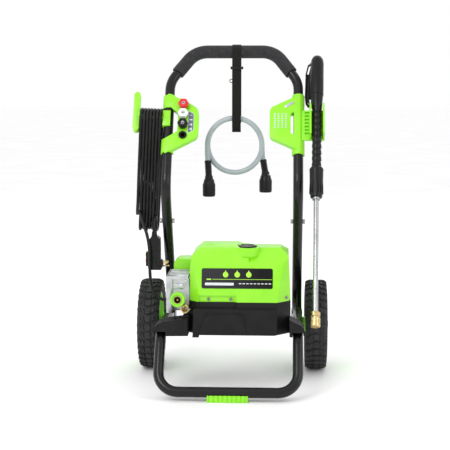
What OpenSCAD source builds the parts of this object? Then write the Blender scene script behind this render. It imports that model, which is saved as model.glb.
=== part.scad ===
// Upright electric pressure washer: a bent tube frame on two wheels carries a motor and
// pump in a two-part housing, a hose loop, a wound power cord, nozzles and a spray gun.
// Millimetres. +Z is up, the front faces -Y, and the origin is on the ground, midway
// between the front foot and the back of the wheels, on the frame's centre line.

/* [Frame] */
// Outside diameter of the frame tube
tube_d = 25.4; // [22:0.2:26]
// Wall of the frame tube
tube_wall = 1.6; // [1.2:0.1:2.5]
// Distance between the centre lines of the two side tubes
frame_w = 333; // [331:1:335]
// Lean of the upper handle, in degrees back from upright
handle_lean = 30; // [28:1:32]
// Height of the bend between the lower frame and the handle
bend_z = 485; // [480:1:490]
// Length of the handle above the bend, along its lean
handle_len = 397; // [390:1:400]
// Outside diameter of the foam grip
foam_d = 34; // [33:1:36]

/* [Wheels] */
// Outside diameter of each tyre
wheel_d = 234; // [228:1:236]
// Width of each tyre
tyre_w = 57; // [50:1:58]
// Distance from the centre line to the middle of each tyre
wheel_x = 216; // [215:1:218]
// Diameter of the axle
axle_d = 12; // [10:0.5:14]

/* [Housing] */
// Left side of the housing
house_x0 = -101; // [-102:0.5:-100]
// Right side of the housing
house_x1 = 148.5; // [147:0.5:150]
// Height of the housing's underside
tray_z0 = 142; // [141:1:144]
// Height of the joint between the tray and the upper cover
split_z = 222; // [220:1:224]
// Thickness of the moulded walls
wall = 2.6; // [2.2:0.1:3]

/* [Motor and pump] */
// Outside diameter of the motor
motor_d = 104; // [96:1:106]
// Diameter of the motor shaft
shaft_d = 15; // [12:1:16]

/* [Gun and lance] */
// Diameter of the lance tube
lance_d = 12.6; // [11:0.2:13]
// Outside diameter of the lance's quick coupler
coupler_d = 23.4; // [22:0.2:24]

/* [Hose and cord] */
// Outside diameter of the inlet hose
hose_d = 14; // [12:0.5:15]
// Radius of the hanging hose loop, to the middle of the hose
hose_r = 72; // [70:1:74]
// Outside diameter of the power cord
cord_d = 8.2; // [7.5:0.1:8.5]

/* [Hidden] */
$fn = 48;

tube_r = tube_d / 2;
plug_r = tube_r - tube_wall - 0.2;
side_x = frame_w / 2;
gap = 0.2;               // clearance between a moulding and the tube it clips on
lime = [0.52, 0.86, 0.11];
ink = [0.08, 0.08, 0.085];
steel = [0.75, 0.76, 0.78];
brass = [0.82, 0.66, 0.30];

// Side view of the frame: foot bar, front bend, rear bend, bend under the handle
foot_y = -224;
foot_z = 21.5;
rail_z = 146;
front_y = foot_y + 85;
rear_y = foot_y + 400;
bend_y = foot_y + 222;
lower_len = norm([rear_y - bend_y, bend_z - rail_z]);
lower_dir = [0, (rear_y - bend_y) / lower_len, (rail_z - bend_z) / lower_len];
lower_tilt = atan2(rear_y - bend_y, bend_z - rail_z);
seam = 107;              // from the bend down to the joint of handle and lower frame
bolt_at = 98;            // from the bend down to the bolts

axle_y = foot_y + 345;
axle_z = wheel_d / 2;
rim_r = wheel_d / 2 - 35;

motor_y = foot_y + 165;
motor_z = 238;

function unit(v) = v / norm(v);
// A point given in the handle's plane: x across, y towards the back, w up the handle
function on_handle(x, y, w) = [x, bend_y + y * cos(handle_lean) + w * sin(handle_lean),
    bend_z - y * sin(handle_lean) + w * cos(handle_lean)];
function below_bend(x, d) = [x, bend_y, bend_z] + d * lower_dir;
// The left side's copy of the points, then the right side's, turned round
function both_sides(pts) = concat([for (q = pts) [-q.x, q.y, q.z]],
    [for (i = [len(pts) - 1:-1:0]) pts[i]]);

module on_handle() translate([0, bend_y, bend_z]) rotate([-handle_lean, 0, 0]) children();

// A straight round bar from a to b
module bar(a, b, r) {
    d = b - a;
    translate(a) rotate([0, acos(d.z / norm(d)), atan2(d.y, d.x)]) cylinder(h = norm(d), r = r);
}

function half_turn(p, i) = acos(unit(p[i] - p[i - 1]) * unit(p[i + 1] - p[i])) / 2;
function cut_back(p, rad, i) = i == 0 || i == len(p) - 1 ? 0 : rad[i] * tan(half_turn(p, i));

function arc_points(p, rad, i, n) = let (u = unit(p[i] - p[i - 1]), v = unit(p[i + 1] - p[i]),
    m = unit(v - (u * v) * u), c = p[i] - u * cut_back(p, rad, i) + m * rad[i],
    t = 2 * half_turn(p, i)) [for (k = [0:n]) c + rad[i] * (u * sin(t * k / n) - m * cos(t * k / n))];
// The points p with the corner at each inner point i rounded to radius rad[i]
function rounded(p, rad, n = 7) = concat([p[0]],
    [for (i = [1:len(p) - 2]) for (q = arc_points(p, rad, i, n)) q], [p[len(p) - 1]]);
function along(p, i) = unit(p[min(i + 1, len(p) - 1)] - p[max(i - 1, 0)]);
// Sideways direction at each point, carried along the path without twist
function across(p, first) = [for (i = 0, a = unit(first - (first * along(p, 0)) * along(p, 0));
    i < len(p); i = i + 1, a = i < len(p) ? unit(a - (a * along(p, i)) * along(p, i)) : a) a];

// A tube swept along points, square to its path at every ring, hollow where r_in is over 0
module swept(p, r, r_in = 0, sides = 10, first = [0, 1, 0]) {
    n = len(p);
    a = across(p, first);
    function ring(i, q) = [for (k = [0:sides - 1])
        p[i] + q * (a[i] * cos(360 * k / sides) + cross(along(p, i), a[i]) * sin(360 * k / sides))];
    function skin(at, flip) = [for (i = [0:n - 2]) for (k = [0:sides - 1]) let (m = (k + 1) % sides,
        f = [at + i * sides + m, at + i * sides + k, at + (i + 1) * sides + k, at + (i + 1) * sides + m])
        flip ? [f[3], f[2], f[1], f[0]] : f];
    in = n * sides;
    outer = [for (i = [0:n - 1]) for (q = ring(i, r)) q];
    if (r_in > 0) polyhedron(concat(outer, [for (i = [0:n - 1]) for (q = ring(i, r_in)) q]),
        concat(skin(0, false), skin(in, true), [for (k = [0:sides - 1]) let (m = (k + 1) % sides)
            [k, m, in + m, in + k]], [for (k = [0:sides - 1]) let (m = (k + 1) % sides, e = in - sides)
            [e + m, e + k, in + e + k, in + e + m]]), convexity = 6);
    else polyhedron(outer, concat([[for (k = [0:sides - 1]) k]], skin(0, false),
        [[for (k = [sides - 1:-1:0]) (n - 1) * sides + k]]), convexity = 4);
}

// A round bar lying along X
module xbar(x0, x1, y, z, r) translate([x0, y, z]) rotate([0, 90, 0]) cylinder(h = x1 - x0, r = r);
// A round bar lying along Y
module ybar(y0, y1, x, z, r) translate([x, y1, z]) rotate([90, 0, 0]) cylinder(h = y1 - y0, r = r);

// ---- frame ----
frame_right = [below_bend(side_x, seam), [side_x, rear_y, rail_z], [side_x, front_y, rail_z],
    [side_x, foot_y, foot_z]];
frame_path = both_sides(frame_right);
frame_bends = [0, 50, 60, 48, 48, 60, 50, 0];

slant_w = 306.3;         // where the side tubes turn in towards the grip
slant_x = 103;           // where the slanted tubes meet the top bar
handle_right = [below_bend(side_x, seam), [side_x, bend_y, bend_z],
    on_handle(side_x, 0, slant_w), on_handle(slant_x, 0, handle_len)];
handle_path = both_sides(handle_right);
handle_bends = [0, 70, 75, 60, 60, 75, 70, 0];

module bolt_holes() for (s = [-1, 1]) {
    p = below_bend(s * side_x, bolt_at);
    xbar(p.x - 15, p.x + 15, p.y, p.z, 3.1);
}

// One bent tube, with a sleeve in each upper end that the handle slides over
module lower_frame() color(ink) {
    swept(rounded(frame_path, frame_bends), tube_r, tube_r - tube_wall, 20, [0, 1, 1]);
    difference() {
        for (s = [-1, 1]) bar(below_bend(s * side_x, seam - 35), below_bend(s * side_x, seam + 25), plug_r);
        for (s = [-1, 1]) bar(below_bend(s * side_x, seam - 36), below_bend(s * side_x, seam + 26), plug_r - 2);
        bolt_holes();
    }
}

module handle_tube() color(ink) difference() {
    swept(rounded(handle_path, handle_bends), tube_r, tube_r - tube_wall, 20, [0, 1, 1]);
    bolt_holes();
}

foam_end = [148.5, 332];
module foam_grip() color([0.16, 0.16, 0.17]) swept(rounded([on_handle(-foam_end.x, 0, foam_end.y),
    on_handle(-slant_x, 0, handle_len), on_handle(slant_x, 0, handle_len),
    on_handle(foam_end.x, 0, foam_end.y)], [0, 60, 60, 0]), foam_d / 2, tube_r + gap, 20, [0, 1, 1]);

// Two through bolts, each with its nut, that pin the handle on the lower frame
module frame_bolts() color(steel) for (s = [-1, 1]) {
    p = below_bend(s * side_x, bolt_at);
    xbar(p.x - tube_r - 5, p.x + tube_r + 5, p.y, p.z, 3);
    xbar(s > 0 ? p.x + tube_r + 0.2 : p.x - tube_r - 5.2, s > 0 ? p.x + tube_r + 5.2 : p.x - tube_r - 0.2,
        p.y, p.z, 6);
    translate([s > 0 ? p.x - tube_r - 5.2 : p.x + tube_r + 0.2, p.y, p.z]) rotate([0, 90, 0])
        cylinder(h = 5, r = 6, $fn = 6);
}

// Ribbed rubber pad clipped under the foot bar
pad_w = 97;
module foot_pad() color(lime) difference() {
    translate([-pad_w / 2, foot_y - 15, 0]) cube([pad_w, 30, 17]);
    xbar(-pad_w, pad_w, foot_y, foot_z, tube_r + gap);
    for (i = [0:8]) translate([-pad_w / 2 + (i + 0.5) * pad_w / 9 - 1.5, foot_y - 16, -1]) cube([3, 3, 19]);
}

rear_arc = [rear_y - cut_back(frame_path, frame_bends, 1), rail_z + frame_bends[1]];
// Saddle plates that hold the axle under the rear bend of the rails
module axle_brackets() color(ink) for (s = [-1, 1]) difference() {
    translate([s * side_x - 14, axle_y - 24, axle_z - 13]) cube([28, 48, 50]);
    from_side(s * side_x - tube_r - gap, s * side_x + tube_r + gap) {
        translate(rear_arc) circle(frame_bends[1] + tube_r + gap);
        translate([0, rail_z - tube_r - gap]) square([rear_arc.x, 60]);
    }
    xbar(s * side_x - 20, s * side_x + 20, axle_y, axle_z, axle_d / 2 + 0.05);
}

// ---- wheels ----
axle_end = wheel_x + tyre_w / 2 + 1;
module axle() color(steel) xbar(-axle_end, axle_end, axle_y, axle_z, axle_d / 2);

// Push-on caps that hold the wheels on the axle
module axle_caps() color(ink) for (s = [-1, 1]) difference() {
    xbar(s > 0 ? wheel_x + 24 : -wheel_x - 33, s > 0 ? wheel_x + 33 : -wheel_x - 24, axle_y, axle_z, 14);
    xbar(-axle_end - 0.1, axle_end + 0.1, axle_y, axle_z, axle_d / 2 + 0.05);
}

module on_wheel(s) translate([s * wheel_x, axle_y, axle_z]) rotate([0, s * 90, 0]) children();

// Tyre section, drawn with the radius along x and the outer side of the wheel along +y
module tyre(s) color([0.11, 0.11, 0.11]) on_wheel(s) rotate_extrude($fn = 96)
    polygon([[rim_r, -22], [rim_r + 6, -25], [wheel_d / 2 - 13, -tyre_w / 2], [wheel_d / 2 - 4, -24],
        [wheel_d / 2, -13], [wheel_d / 2, 13], [wheel_d / 2 - 4, 24], [wheel_d / 2 - 13, tyre_w / 2],
        [rim_r + 6, 25], [rim_r, 22]]);

spokes = 8;
module rim(s) color(lime) on_wheel(s) difference() {
    union() {
        rotate_extrude($fn = 96) polygon([[rim_r - 7, -22], [rim_r, -22], [rim_r, 22], [rim_r - 7, 22],
            [rim_r - 9, 6], [rim_r - 9, -2]]);
        translate([0, 0, -3]) cylinder(h = 8, r = rim_r - 8);
        translate([0, 0, -35]) cylinder(h = 58.5, r = 19);
    }
    translate([0, 0, -40]) cylinder(h = 80, r = axle_d / 2 + 0.06);
    for (i = [0:spokes - 1]) rotate([0, 0, (i + 0.5) * 360 / spokes]) translate([46, 0, -10])
        cylinder(h = 25, r = 13);
}

module tyre_left() tyre(-1);
module tyre_right() tyre(1);
module rim_left() rim(-1);
module rim_right() rim(1);

// ---- housing ----
cover_front = foot_y + 84;
cover_back = foot_y + 302;
// Front view of the housing's upper cover
module cover_front_view() polygon([[house_x0, split_z], [house_x0 + 1.5, 281], [-92.5, 331], [-67.5, 357],
    [20, 357], [30, 350], [124, 350], [143.5, 331], [house_x1, split_z]]);
face_slope = 21 / 128;
function face_y(z) = cover_front + (z - split_z) * face_slope;
// Side views, left part and right part
module cover_left_view() polygon([[cover_front, split_z], [face_y(350), 350], [face_y(350) + 18, 357],
    [-30, 357], [cover_back - 8, 318], [cover_back, split_z]]);
module cover_right_view() polygon([[cover_front, split_z], [face_y(316), 316], [face_y(316) + 30, 350],
    [-30, 350], [cover_back - 8, 318], [cover_back, split_z]]);
// Plan, with wide chamfers on the two front corners
module cover_plan() polygon([[house_x0, cover_front + 30], [house_x0 + 30, cover_front],
    [house_x1 - 33, cover_front], [house_x1, cover_front + 34], [house_x1, cover_back - 18],
    [house_x1 - 18, cover_back], [house_x0 + 18, cover_back], [house_x0, cover_back - 18]]);
step_x = 47;             // the front steps back to the right of here

module from_front(d, y0 = -300) translate([0, y0 + d, 0]) rotate([90, 0, 0]) linear_extrude(d) children();
module from_side(x0, x1) translate([x0, 0, 0]) rotate([90, 0, 90]) linear_extrude(x1 - x0) children();

module cover_form(t) intersection() {
    from_front(600) offset(delta = -t) cover_front_view();
    union() {
        from_side(house_x0, step_x) offset(delta = -t) cover_left_view();
        from_side(step_x - 1, house_x1) offset(delta = -t) cover_right_view();
    }
    translate([0, 0, split_z - 30]) linear_extrude(200) offset(delta = -t) cover_plan();
}

cap_at = [42.5, -96];
boss_r = 31;
screws = [[-50, 229], [4, 229], [139, 231]];

// Shallow recess along the joint line that the two front screws sit in
module screw_recess() translate([0, 0, 208]) linear_extrude(30)
    polygon([[-74, cover_front - 10], [-74, cover_front + 7], [12, cover_front + 7], [30, cover_front - 10]]);

module upper_cover() color(lime) difference() {
    union() {
        cover_form(0);
        translate([cap_at.x, cap_at.y, 332]) cylinder(h = 20, r = boss_r);
        translate([cap_at.x, cap_at.y, 320]) cylinder(h = 12.5, r1 = 20, r2 = boss_r);
    }
    difference() {
        cover_form(wall);
        translate([-80, cover_front, split_z]) cube([110, 14, 18]);
    }
    translate([house_x0 + wall, cover_front + 30, split_z - 1])
        cube([house_x1 - house_x0 - 2 * wall, cover_back - cover_front - 52, 5]);
    screw_recess();
    translate([cap_at.x, cap_at.y, 300]) cylinder(h = 60, r = 20.5);
    translate([cap_at.x, cap_at.y, 352.1]) cylinder(h = 10, r = 24.2);
    ybar(cover_front + 10, cover_front + 24.05, screws[2].x, screws[2].y, 4.3);
    for (q = screws) ybar(cover_front - 10, cover_front + 40, q.x, q.y, 2.2);
    translate([switch_c.x - 20.2, cover_back - 14, switch_c.y - 12.2]) cube([40.4, 20, 24.4]);
    // way through for the pump
    translate([house_x0 - 5, head_front - 1, split_z - 5]) cube([14, 113, 71]);
}

// Moulded arm that sits over a rail of the frame
module tray_arm(s, inner) from_front(58, cover_front - 18) polygon([[s * inner, tray_z0],
    [s * 150, tray_z0 - 1], [s * 182, 146], [s * 182, 160], [s * 174, 170], [s * 160, 176],
    [s * inner, 184]]);

module base_tray() color(ink) difference() {
    union() {
        difference() {
            translate([0, 0, tray_z0]) linear_extrude(split_z - tray_z0) cover_plan();
            translate([0, 0, tray_z0 + 3]) linear_extrude(split_z - tray_z0) offset(delta = -wall)
                cover_plan();
        }
        intersection() {
            translate([-78, cover_front, split_z - 18]) cube([106, 10, 18]);
            translate([0, 0, tray_z0]) linear_extrude(split_z - tray_z0) cover_plan();
        }
        // raised front panel
        from_front(6, cover_front - 6) polygon([[-89, tray_z0 - 6], [-74, tray_z0 - 6], [-72, tray_z0],
            [112, tray_z0], [116, tray_z0 + 6], [116, split_z - 16], [-86, split_z - 16]]);
        for (s = [-1, 1]) tray_arm(s, s < 0 ? 99 : 146);
        translate([-113, cover_front + 12, tray_z0]) cube([14, 60, 46]);
    }
    for (s = [-1, 1]) from_side(s * side_x - tube_r - gap, s * side_x + tube_r + gap)
        polygon([[front_y - 80, 0], [front_y - 26, rail_z], [front_y - 12, rail_z + tube_r - 1],
            [front_y + 20, rail_z + tube_r + gap], [200, rail_z + tube_r + gap], [200, 0]]);
    screw_recess();
    for (i = [0, 1]) ybar(cover_front - 10, cover_front + 40, screws[i].x, screws[i].y, 2.2);
    translate([-100, cover_front - 30, split_z - 74]) cube([11, 42, 90]);
    // way through for the pump and for the outlet's pipe
    translate([house_x0 - 20, motor_y - 49, motor_z - 49]) cube([30, 98, 80]);
    translate([house_x0 - 20, cover_front + 11, motor_z - 49]) cube([24, 127, 80]);
}

module side_cover() color(lime) difference() {
    from_front(65, -3) polygon([[-101.5, 186], [-125, 186], [-125, 238], [-146, 250], [-146, 294],
        [-143, 302], [-134, 307], [-101.5, 307]]);
    from_front(59.8, -0.4) polygon([[-90, 189], [-122, 189], [-122, 240], [-143, 252], [-143, 292],
        [-134, 304], [-90, 304]]);
    xbar(-130, -110, relief_at.y, relief_at.z, 7);
}

label_c = [19, 279];
module label_plate() color([0.2, 0.2, 0.22]) translate([label_c.x, face_y(label_c.y), label_c.y])
    rotate([90 - atan(face_slope), 0, 0]) linear_extrude(1.2) {
        square([172, 40], center = true);
        square([163, 49], center = true);
        for (x = [-81.5, 81.5]) for (y = [-20, 20]) translate([x, y]) circle(4.5);
    }

module cover_screws() color(steel) {
    for (i = [0, 1]) {
        ybar(cover_front + 7, cover_front + 24, screws[i].x, screws[i].y, 2);
        ybar(cover_front + 3.5, cover_front + 7, screws[i].x, screws[i].y, 4);
    }
    ybar(cover_front + 24, cover_front + 42, screws[2].x, screws[2].y, 2);
    ybar(cover_front + 21, cover_front + 24, screws[2].x, screws[2].y, 4);
}

module tank_cap() color(ink) translate([cap_at.x, cap_at.y, 0]) {
    translate([0, 0, 352.3]) cylinder(h = 2.7, r = 23.5);
    translate([0, 0, 355]) cylinder(h = 2.6, r1 = 23.5, r2 = 14);
    translate([0, 0, 338]) cylinder(h = 14.5, r = 15.9);
}

module detergent_tank() color([0.85, 0.87, 0.86]) difference() {
    union() {
        translate([-16, -104, 300]) cube([136, 84, 32]);
        translate([cap_at.x, cap_at.y, 318]) cylinder(h = 33.8, r = 19);
    }
    translate([-13, -101, 303]) cube([130, 78, 26]);
    translate([cap_at.x, cap_at.y, 321]) cylinder(h = 40, r = 16);
}

// ---- motor ----
module along_motor(x) translate([x, motor_y, motor_z]) rotate([0, 90, 0]) children();
module motor_tube(x0, x1, r, r_in) along_motor(x0) difference() {
    cylinder(h = x1 - x0, r = r);
    translate([0, 0, -1]) cylinder(h = x1 - x0 + 2, r = r_in);
}

module motor_stator() color([0.45, 0.46, 0.48]) motor_tube(-38, 84, motor_d / 2, motor_d / 2 - 18);
module motor_rotor() color([0.55, 0.4, 0.3]) {
    along_motor(-82) cylinder(h = 206, r = shaft_d / 2);
    along_motor(-26) cylinder(h = 96, r = motor_d / 2 - 19);
}
module motor_fan() color(ink) {
    motor_tube(104, 120, 12, shaft_d / 2);
    for (i = [0:8]) along_motor(104) rotate([0, 0, i * 40]) translate([11.5, -1.25, 0]) cube([32, 2.5, 15]);
    motor_tube(104, 106, 44, 11);
}
module motor_bearings() color(steel) for (x = [-54, 87]) motor_tube(x, x + 11, 17.5, shaft_d / 2 + 0.05);
module motor_end_plate() color([0.6, 0.61, 0.62]) {
    motor_tube(84, 86.5, motor_d / 2, 12);
    motor_tube(86.5, 98, 22, 17.5);
}

// ---- pump ----
module pump_body() color([0.68, 0.69, 0.7]) difference() {
    union() {
        along_motor(-99) cylinder(h = 55, r = 47);
        motor_tube(-44, -38, motor_d / 2, 17.5);
    }
    along_motor(-96) cylinder(h = 37, r = 41);
    along_motor(-60) cylinder(h = 30, r = 12);
    along_motor(-54) cylinder(h = 30, r = 17.5);
    for (i = [0:2]) along_motor(-100) rotate([0, 0, i * 120]) translate([24, 0, 0]) cylinder(h = 6, r = 7.05);
}
head_front = -113;
outlet_at = [-125, 227.5];
module pump_head() color([0.8, 0.81, 0.82]) difference() {
    union() {
        translate([-150, head_front, 196]) cube([51, 108, 78]);
        translate([-155, head_front - 4, 274]) cube([54, 113, 7]);
        translate([-146, head_front + 4, 190]) cylinder(h = 84, r = 9.5);
        ybar(head_front - 8, head_front + 1, outlet_at.x, outlet_at.y, 15.5);
    }
    for (i = [0:2]) along_motor(-130) rotate([0, 0, i * 120]) translate([24, 0, 0]) cylinder(h = 40, r = 7.05);
    ybar(head_front - 10, head_front + 12, outlet_at.x, outlet_at.y, 10.1);
    ybar(head_front - 10, head_front + 14, -108, 203, 5.1);
}
// Slanted disc on the shaft that drives the pistons
module wobble_plate() color(steel) difference() {
    intersection() {
        along_motor(-78) rotate([0, 8, 0]) translate([0, 0, 4]) cylinder(h = 8, r = 36);
        along_motor(-82) cylinder(h = 30, r = 34);
    }
    along_motor(-99) cylinder(h = 60, r = shaft_d / 2);
}
module pistons() color(steel) for (i = [0:2]) along_motor(-122) rotate([0, 0, i * 120])
    translate([24, 0, 0]) cylinder(h = 37, r = 7);

module outlet_fitting() color(brass) {
    difference() {
        ybar(head_front - 32, head_front + 10, outlet_at.x, outlet_at.y, 10);
        ybar(head_front - 40, head_front - 8, outlet_at.x, outlet_at.y, 8.2);
    }
    ybar(head_front - 30, head_front - 7, outlet_at.x, outlet_at.y, 2.2);
}
module outlet_collar() color(lime) difference() {
    ybar(head_front - 33, head_front - 11, outlet_at.x, outlet_at.y, 17.4);
    ybar(head_front - 40, head_front, outlet_at.x, outlet_at.y, 10.08);
    ybar(head_front - 40, head_front - 30, outlet_at.x, outlet_at.y, 14);
}
module inlet_fitting() color(steel) {
    difference() {
        ybar(head_front - 24, head_front - 0.3, -108, 203, 10);
        ybar(head_front - 30, head_front - 6, -108, 203, 7.5);
    }
    ybar(head_front - 1, head_front + 13, -108, 203, 5);
}
module pressure_switch() color(ink) translate([-138, 8, 262]) cube([26, 40, 24]);

switch_c = [42, 264];
module switch_frame() color(ink) difference() {
    translate([switch_c.x - 20, cover_back - 16, switch_c.y - 12]) cube([40, 19, 24]);
    translate([switch_c.x - 16, cover_back - 14, switch_c.y - 9]) cube([32, 30, 18]);
}
// Rocker, at rest in its off position
module power_switch() color([0.7, 0.1, 0.1]) translate([0, cover_back - 4, switch_c.y]) rotate([-8, 0, 0])
    difference() {
        union() {
            xbar(switch_c.x - 15.5, switch_c.x + 15.5, 0, 0, 6);
            translate([switch_c.x - 15.5, 0, -8]) cube([31, 6, 16]);
        }
        translate([switch_c.x - 16, 8, 0]) rotate([0, 90, 0]) cylinder(h = 32, r = 3);
    }

// ---- power cord ----
// Free stretch of the cord, from the strain relief to the wound part
cord_route = [[-150, 20, 197], [-158, 20, 197], [-169, 20, 197], [-183, 21, 200], [-195, 22, 209],
    [-203, 22, 223], [-208, 22, 244], [-210, 22, 272], [-210, 22, 306], [-212, 24, 336],
    [-219, 34, 366], [-231, 50, 394], [-241, 64, 420]];
tail_route = [[-200.5, 48, 370], [-200.5, 50, 384], [-199.5, 60, 402], [-198, 72, 420]];
hank_top = [-209.5, 96, 684];
hank_w = 53.6;
hank_h = 322;
hank_d = 58;
hank_tilt = 2.6;
relief_at = [-125, 20, 197];

function catmull(a, b, c, d, t) = 0.5 * (2 * b + (c - a) * t + (2 * a - 5 * b + 4 * c - d) * t * t
    + (3 * b - a - 3 * c + d) * t * t * t);
function smooth(p, n) = [for (i = [0:len(p) - 2]) for (k = [0:n - 1])
    catmull(p[max(i - 1, 0)], p[i], p[i + 1], p[min(i + 2, len(p) - 1)], k / n), p[len(p) - 1]];

module power_cord() color(ink) {
    swept(smooth(cord_route, 2), cord_d / 2);
    swept(smooth(tail_route, 3), cord_d / 2);
}

// Outer shape of the wound cord, hanging on the hook's arm
module cord_hank() color(ink) translate(hank_top) rotate([0, hank_tilt, 0])
    translate([hank_w / 2, 0, 0]) rotate([0, -90, 0]) linear_extrude(hank_w) {
        translate([-hank_d / 2, 0]) circle(hank_d / 2);
        translate([-hank_h + hank_d / 2, 0]) circle(hank_d / 2);
        translate([-hank_h + hank_d / 2, -hank_d / 2]) square([hank_h - hank_d, hank_d]);
    }

module strain_relief() color(ink) {
    xbar(relief_at.x - 25, relief_at.x, relief_at.y, relief_at.z, 6);
    xbar(relief_at.x - 5, relief_at.x, relief_at.y, relief_at.z, 9);
    xbar(relief_at.x - 1, relief_at.x + 8, relief_at.y, relief_at.z, 6.5);
}

// Plug with a built-in breaker, hanging under the wound cord
plug_x = [-216, -185];
plug_y = [31, 66];
plug_z = [272, 357];
module plug_body() color([0.14, 0.14, 0.15]) difference() {
    union() {
        from_front(plug_y[1] - plug_y[0], plug_y[0]) polygon([[plug_x[0] + 4, plug_z[0]],
            [plug_x[1] + 2, plug_z[0]], [plug_x[1] + 5, plug_z[0] + 5], [plug_x[1] + 5, plug_z[0] + 22],
            [plug_x[1], plug_z[0] + 25], [plug_x[1], plug_z[1] - 6], [plug_x[1] - 6, plug_z[1]],
            [plug_x[0] + 8, plug_z[1]], [plug_x[0], plug_z[1] - 12], [plug_x[0], plug_z[0] + 5]]);
        translate([plug_x[0] - 6, plug_y[0] + 6, plug_z[0] + 9]) cube([8, 23, 36]);
        translate([(plug_x[0] + plug_x[1]) / 2, 48, plug_z[1] - 1]) cylinder(h = 14, r1 = 8, r2 = 6);
    }
    for (z = [18, 34]) translate([plug_x[0] - 7, 43, plug_z[0] + z]) cube([5, 11, 8]);
}
module plug_prongs() color(steel) {
    for (y = [42, 54.7]) translate([plug_x[1] + 5, y - 0.8, plug_z[0] + 15]) cube([15, 1.6, 6.3]);
    xbar(plug_x[1] + 5, plug_x[1] + 22, 48.4, plug_z[0] + 9, 2.4);
}
module button(z) translate([plug_x[0] - 7.5, 43.1, plug_z[0] + z + 0.1]) cube([3.9, 10.8, 7.8]);
module test_button() color("gold") button(34);
module reset_button() color("crimson") button(18);

// Hook that carries the wound cord: a clip on the tube, an arm and an upright end
hook_w = 206;
module cord_hook() color(lime) on_handle() difference() {
    union() {
        translate([-180.3, -17, 170]) cube([19.3, 30, 43]);
        xbar(-245, -170, -4, hook_w, 10);
        translate([-249.5, 6, hook_w + 8.5]) rotate([90, 0, 0]) linear_extrude(18) {
            translate([0, 47.5]) circle(8);
            translate([0, -47.5]) circle(8);
            square([16, 95], center = true);
        }
    }
    bar([-side_x, 0, 100], [-side_x, 0, 260], tube_r + gap);
}

// ---- inlet hose, hanging from the grip by its strap ----
hose_c = [0, 190, 583.5];
hose_spread = 24;        // how far the hose moves back over its one and a half turns
nut_left = [-68, 178.5, 448];
nut_right = [82, 201.5, 457.5];
nut_h = 46;
function hose_turn(t) = hose_c + [-hose_r * cos(540 * t), hose_spread * (t - 0.5), hose_r * sin(540 * t)];
hose_route = concat([nut_left + [0, 0, nut_h], [-69.5, 178.4, 520], [-71.5, 178.2, 552]],
    [for (i = [0:32]) hose_turn(i / 32)], [[73.5, 201.9, 552], [78, 201.7, 528], nut_right + [0, 0, nut_h]]);
module hose() color([0.78, 0.8, 0.83]) swept(hose_route, hose_d / 2, 0, 10, [0, 1, 0]);
module sleeve(a, b) difference() {
    bar(a, b, 9);
    bar(a + (a - b), b + (b - a), hose_d / 2 + 0.2);
}
module hose_sleeves() color(ink) {
    sleeve([-70.9, 178.3, 544], nut_left + [-0.1, 0, nut_h + 0.2]);
    sleeve([75, 201.8, 545], nut_right + [0, 0, nut_h + 0.2]);
}
module nut(p, top_gap) color(ink) translate(p) difference() {
    cylinder(h = nut_h - top_gap, r = 16.8);
    translate([0, 0, -1]) cylinder(h = 24, r = 11);
}
module hose_nut_left() nut(nut_left, 0.5);
module hose_nut_right() nut(nut_right, 1.5);

// Webbing strap looped over the grip and under the hose
function side_of(p, i, d) = let (t = unit(p[min(i + 1, len(p) - 1)] - p[max(i - 1, 0)]))
    p[i] + d * [-t.y, t.x];
function strip(p, t) = concat([for (i = [0:len(p) - 1]) side_of(p, i, t / 2)],
    [for (i = [len(p) - 1:-1:0]) side_of(p, i, -t / 2)]);
strap_x = [-6.5, 16.5];
grip_c = on_handle(0, 0, handle_len);
strap_r = foam_d / 2 + 1.3;
strap_path = concat([[174, 619], [170.5, 640], [170, 655]],
    [for (a = [180:-20:0]) [grip_c.y + strap_r * cos(a), grip_c.z + strap_r * sin(a)]],
    [[211, 655], [205, 645], [190, 642], [174.5, 644]]);
module strap() color([0.13, 0.12, 0.12]) from_side(strap_x[0], strap_x[1]) polygon(strip(strap_path, 1.8));

// ---- nozzles ----
panel_y = -17;
nozzle_w = [227, 199, 170, 142];
nozzle_x = -127.5;
module nozzle_panel() color(lime) on_handle() difference() {
    union() {
        from_front(17, panel_y) polygon([[-172, 226], [-172, 258], [-168, 262], [-160, 261], [-147, 252],
            [-113, 234], [-96, 223], [-90, 215], [-88, 204], [-88.5, 148], [-91, 139], [-96, 134],
            [-150, 103], [-172, 91], [-172, 134], [-149, 148.5], [-142, 154], [-141.5, 206],
            [-155, 218], [-161, 225]]);
        bar([-side_x, 0, 223], [-side_x, 0, 260], tube_r + 3.4);
        bar([-side_x, 0, 96], [-side_x, 0, 134], tube_r + 3.4);
    }
    bar([-side_x, 0, 60], [-side_x, 0, 300], tube_r + gap);
    for (w = nozzle_w) ybar(-40, 20, nozzle_x, w, 7);
    translate([-190, 4, 60]) cube([60, 30, 240]);
    from_front(14, panel_y + 4) polygon([[-112, 222], [-98, 214], [-94, 204], [-94, 150], [-98, 142],
        [-112, 134]]);
}
module nozzle_rings() color(ink) on_handle() for (w = nozzle_w) difference() {
    union() {
        ybar(panel_y - 4, panel_y - 0.05, nozzle_x, w, 10.4);
        ybar(panel_y - 1, panel_y + 15, nozzle_x, w, 6.9);
    }
    ybar(-40, 20, nozzle_x, w, 5.6);
}
module nozzle(w, tint) color(tint) on_handle() difference() {
    union() {
        translate([nozzle_x, panel_y - 5, w]) rotate([90, 0, 0]) cylinder(h = 13, r = 13.6, $fn = 6);
        ybar(panel_y - 5.5, panel_y + 12, nozzle_x, w, 5.5);
    }
    ybar(panel_y - 20, panel_y - 14, nozzle_x, w, 3.5);
}
module nozzle_red() nozzle(nozzle_w[0], [0.85, 0.1, 0.15]);
module nozzle_white() nozzle(nozzle_w[1], [0.95, 0.95, 0.95]);
module nozzle_black() nozzle(nozzle_w[2], [0.15, 0.15, 0.15]);

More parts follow.
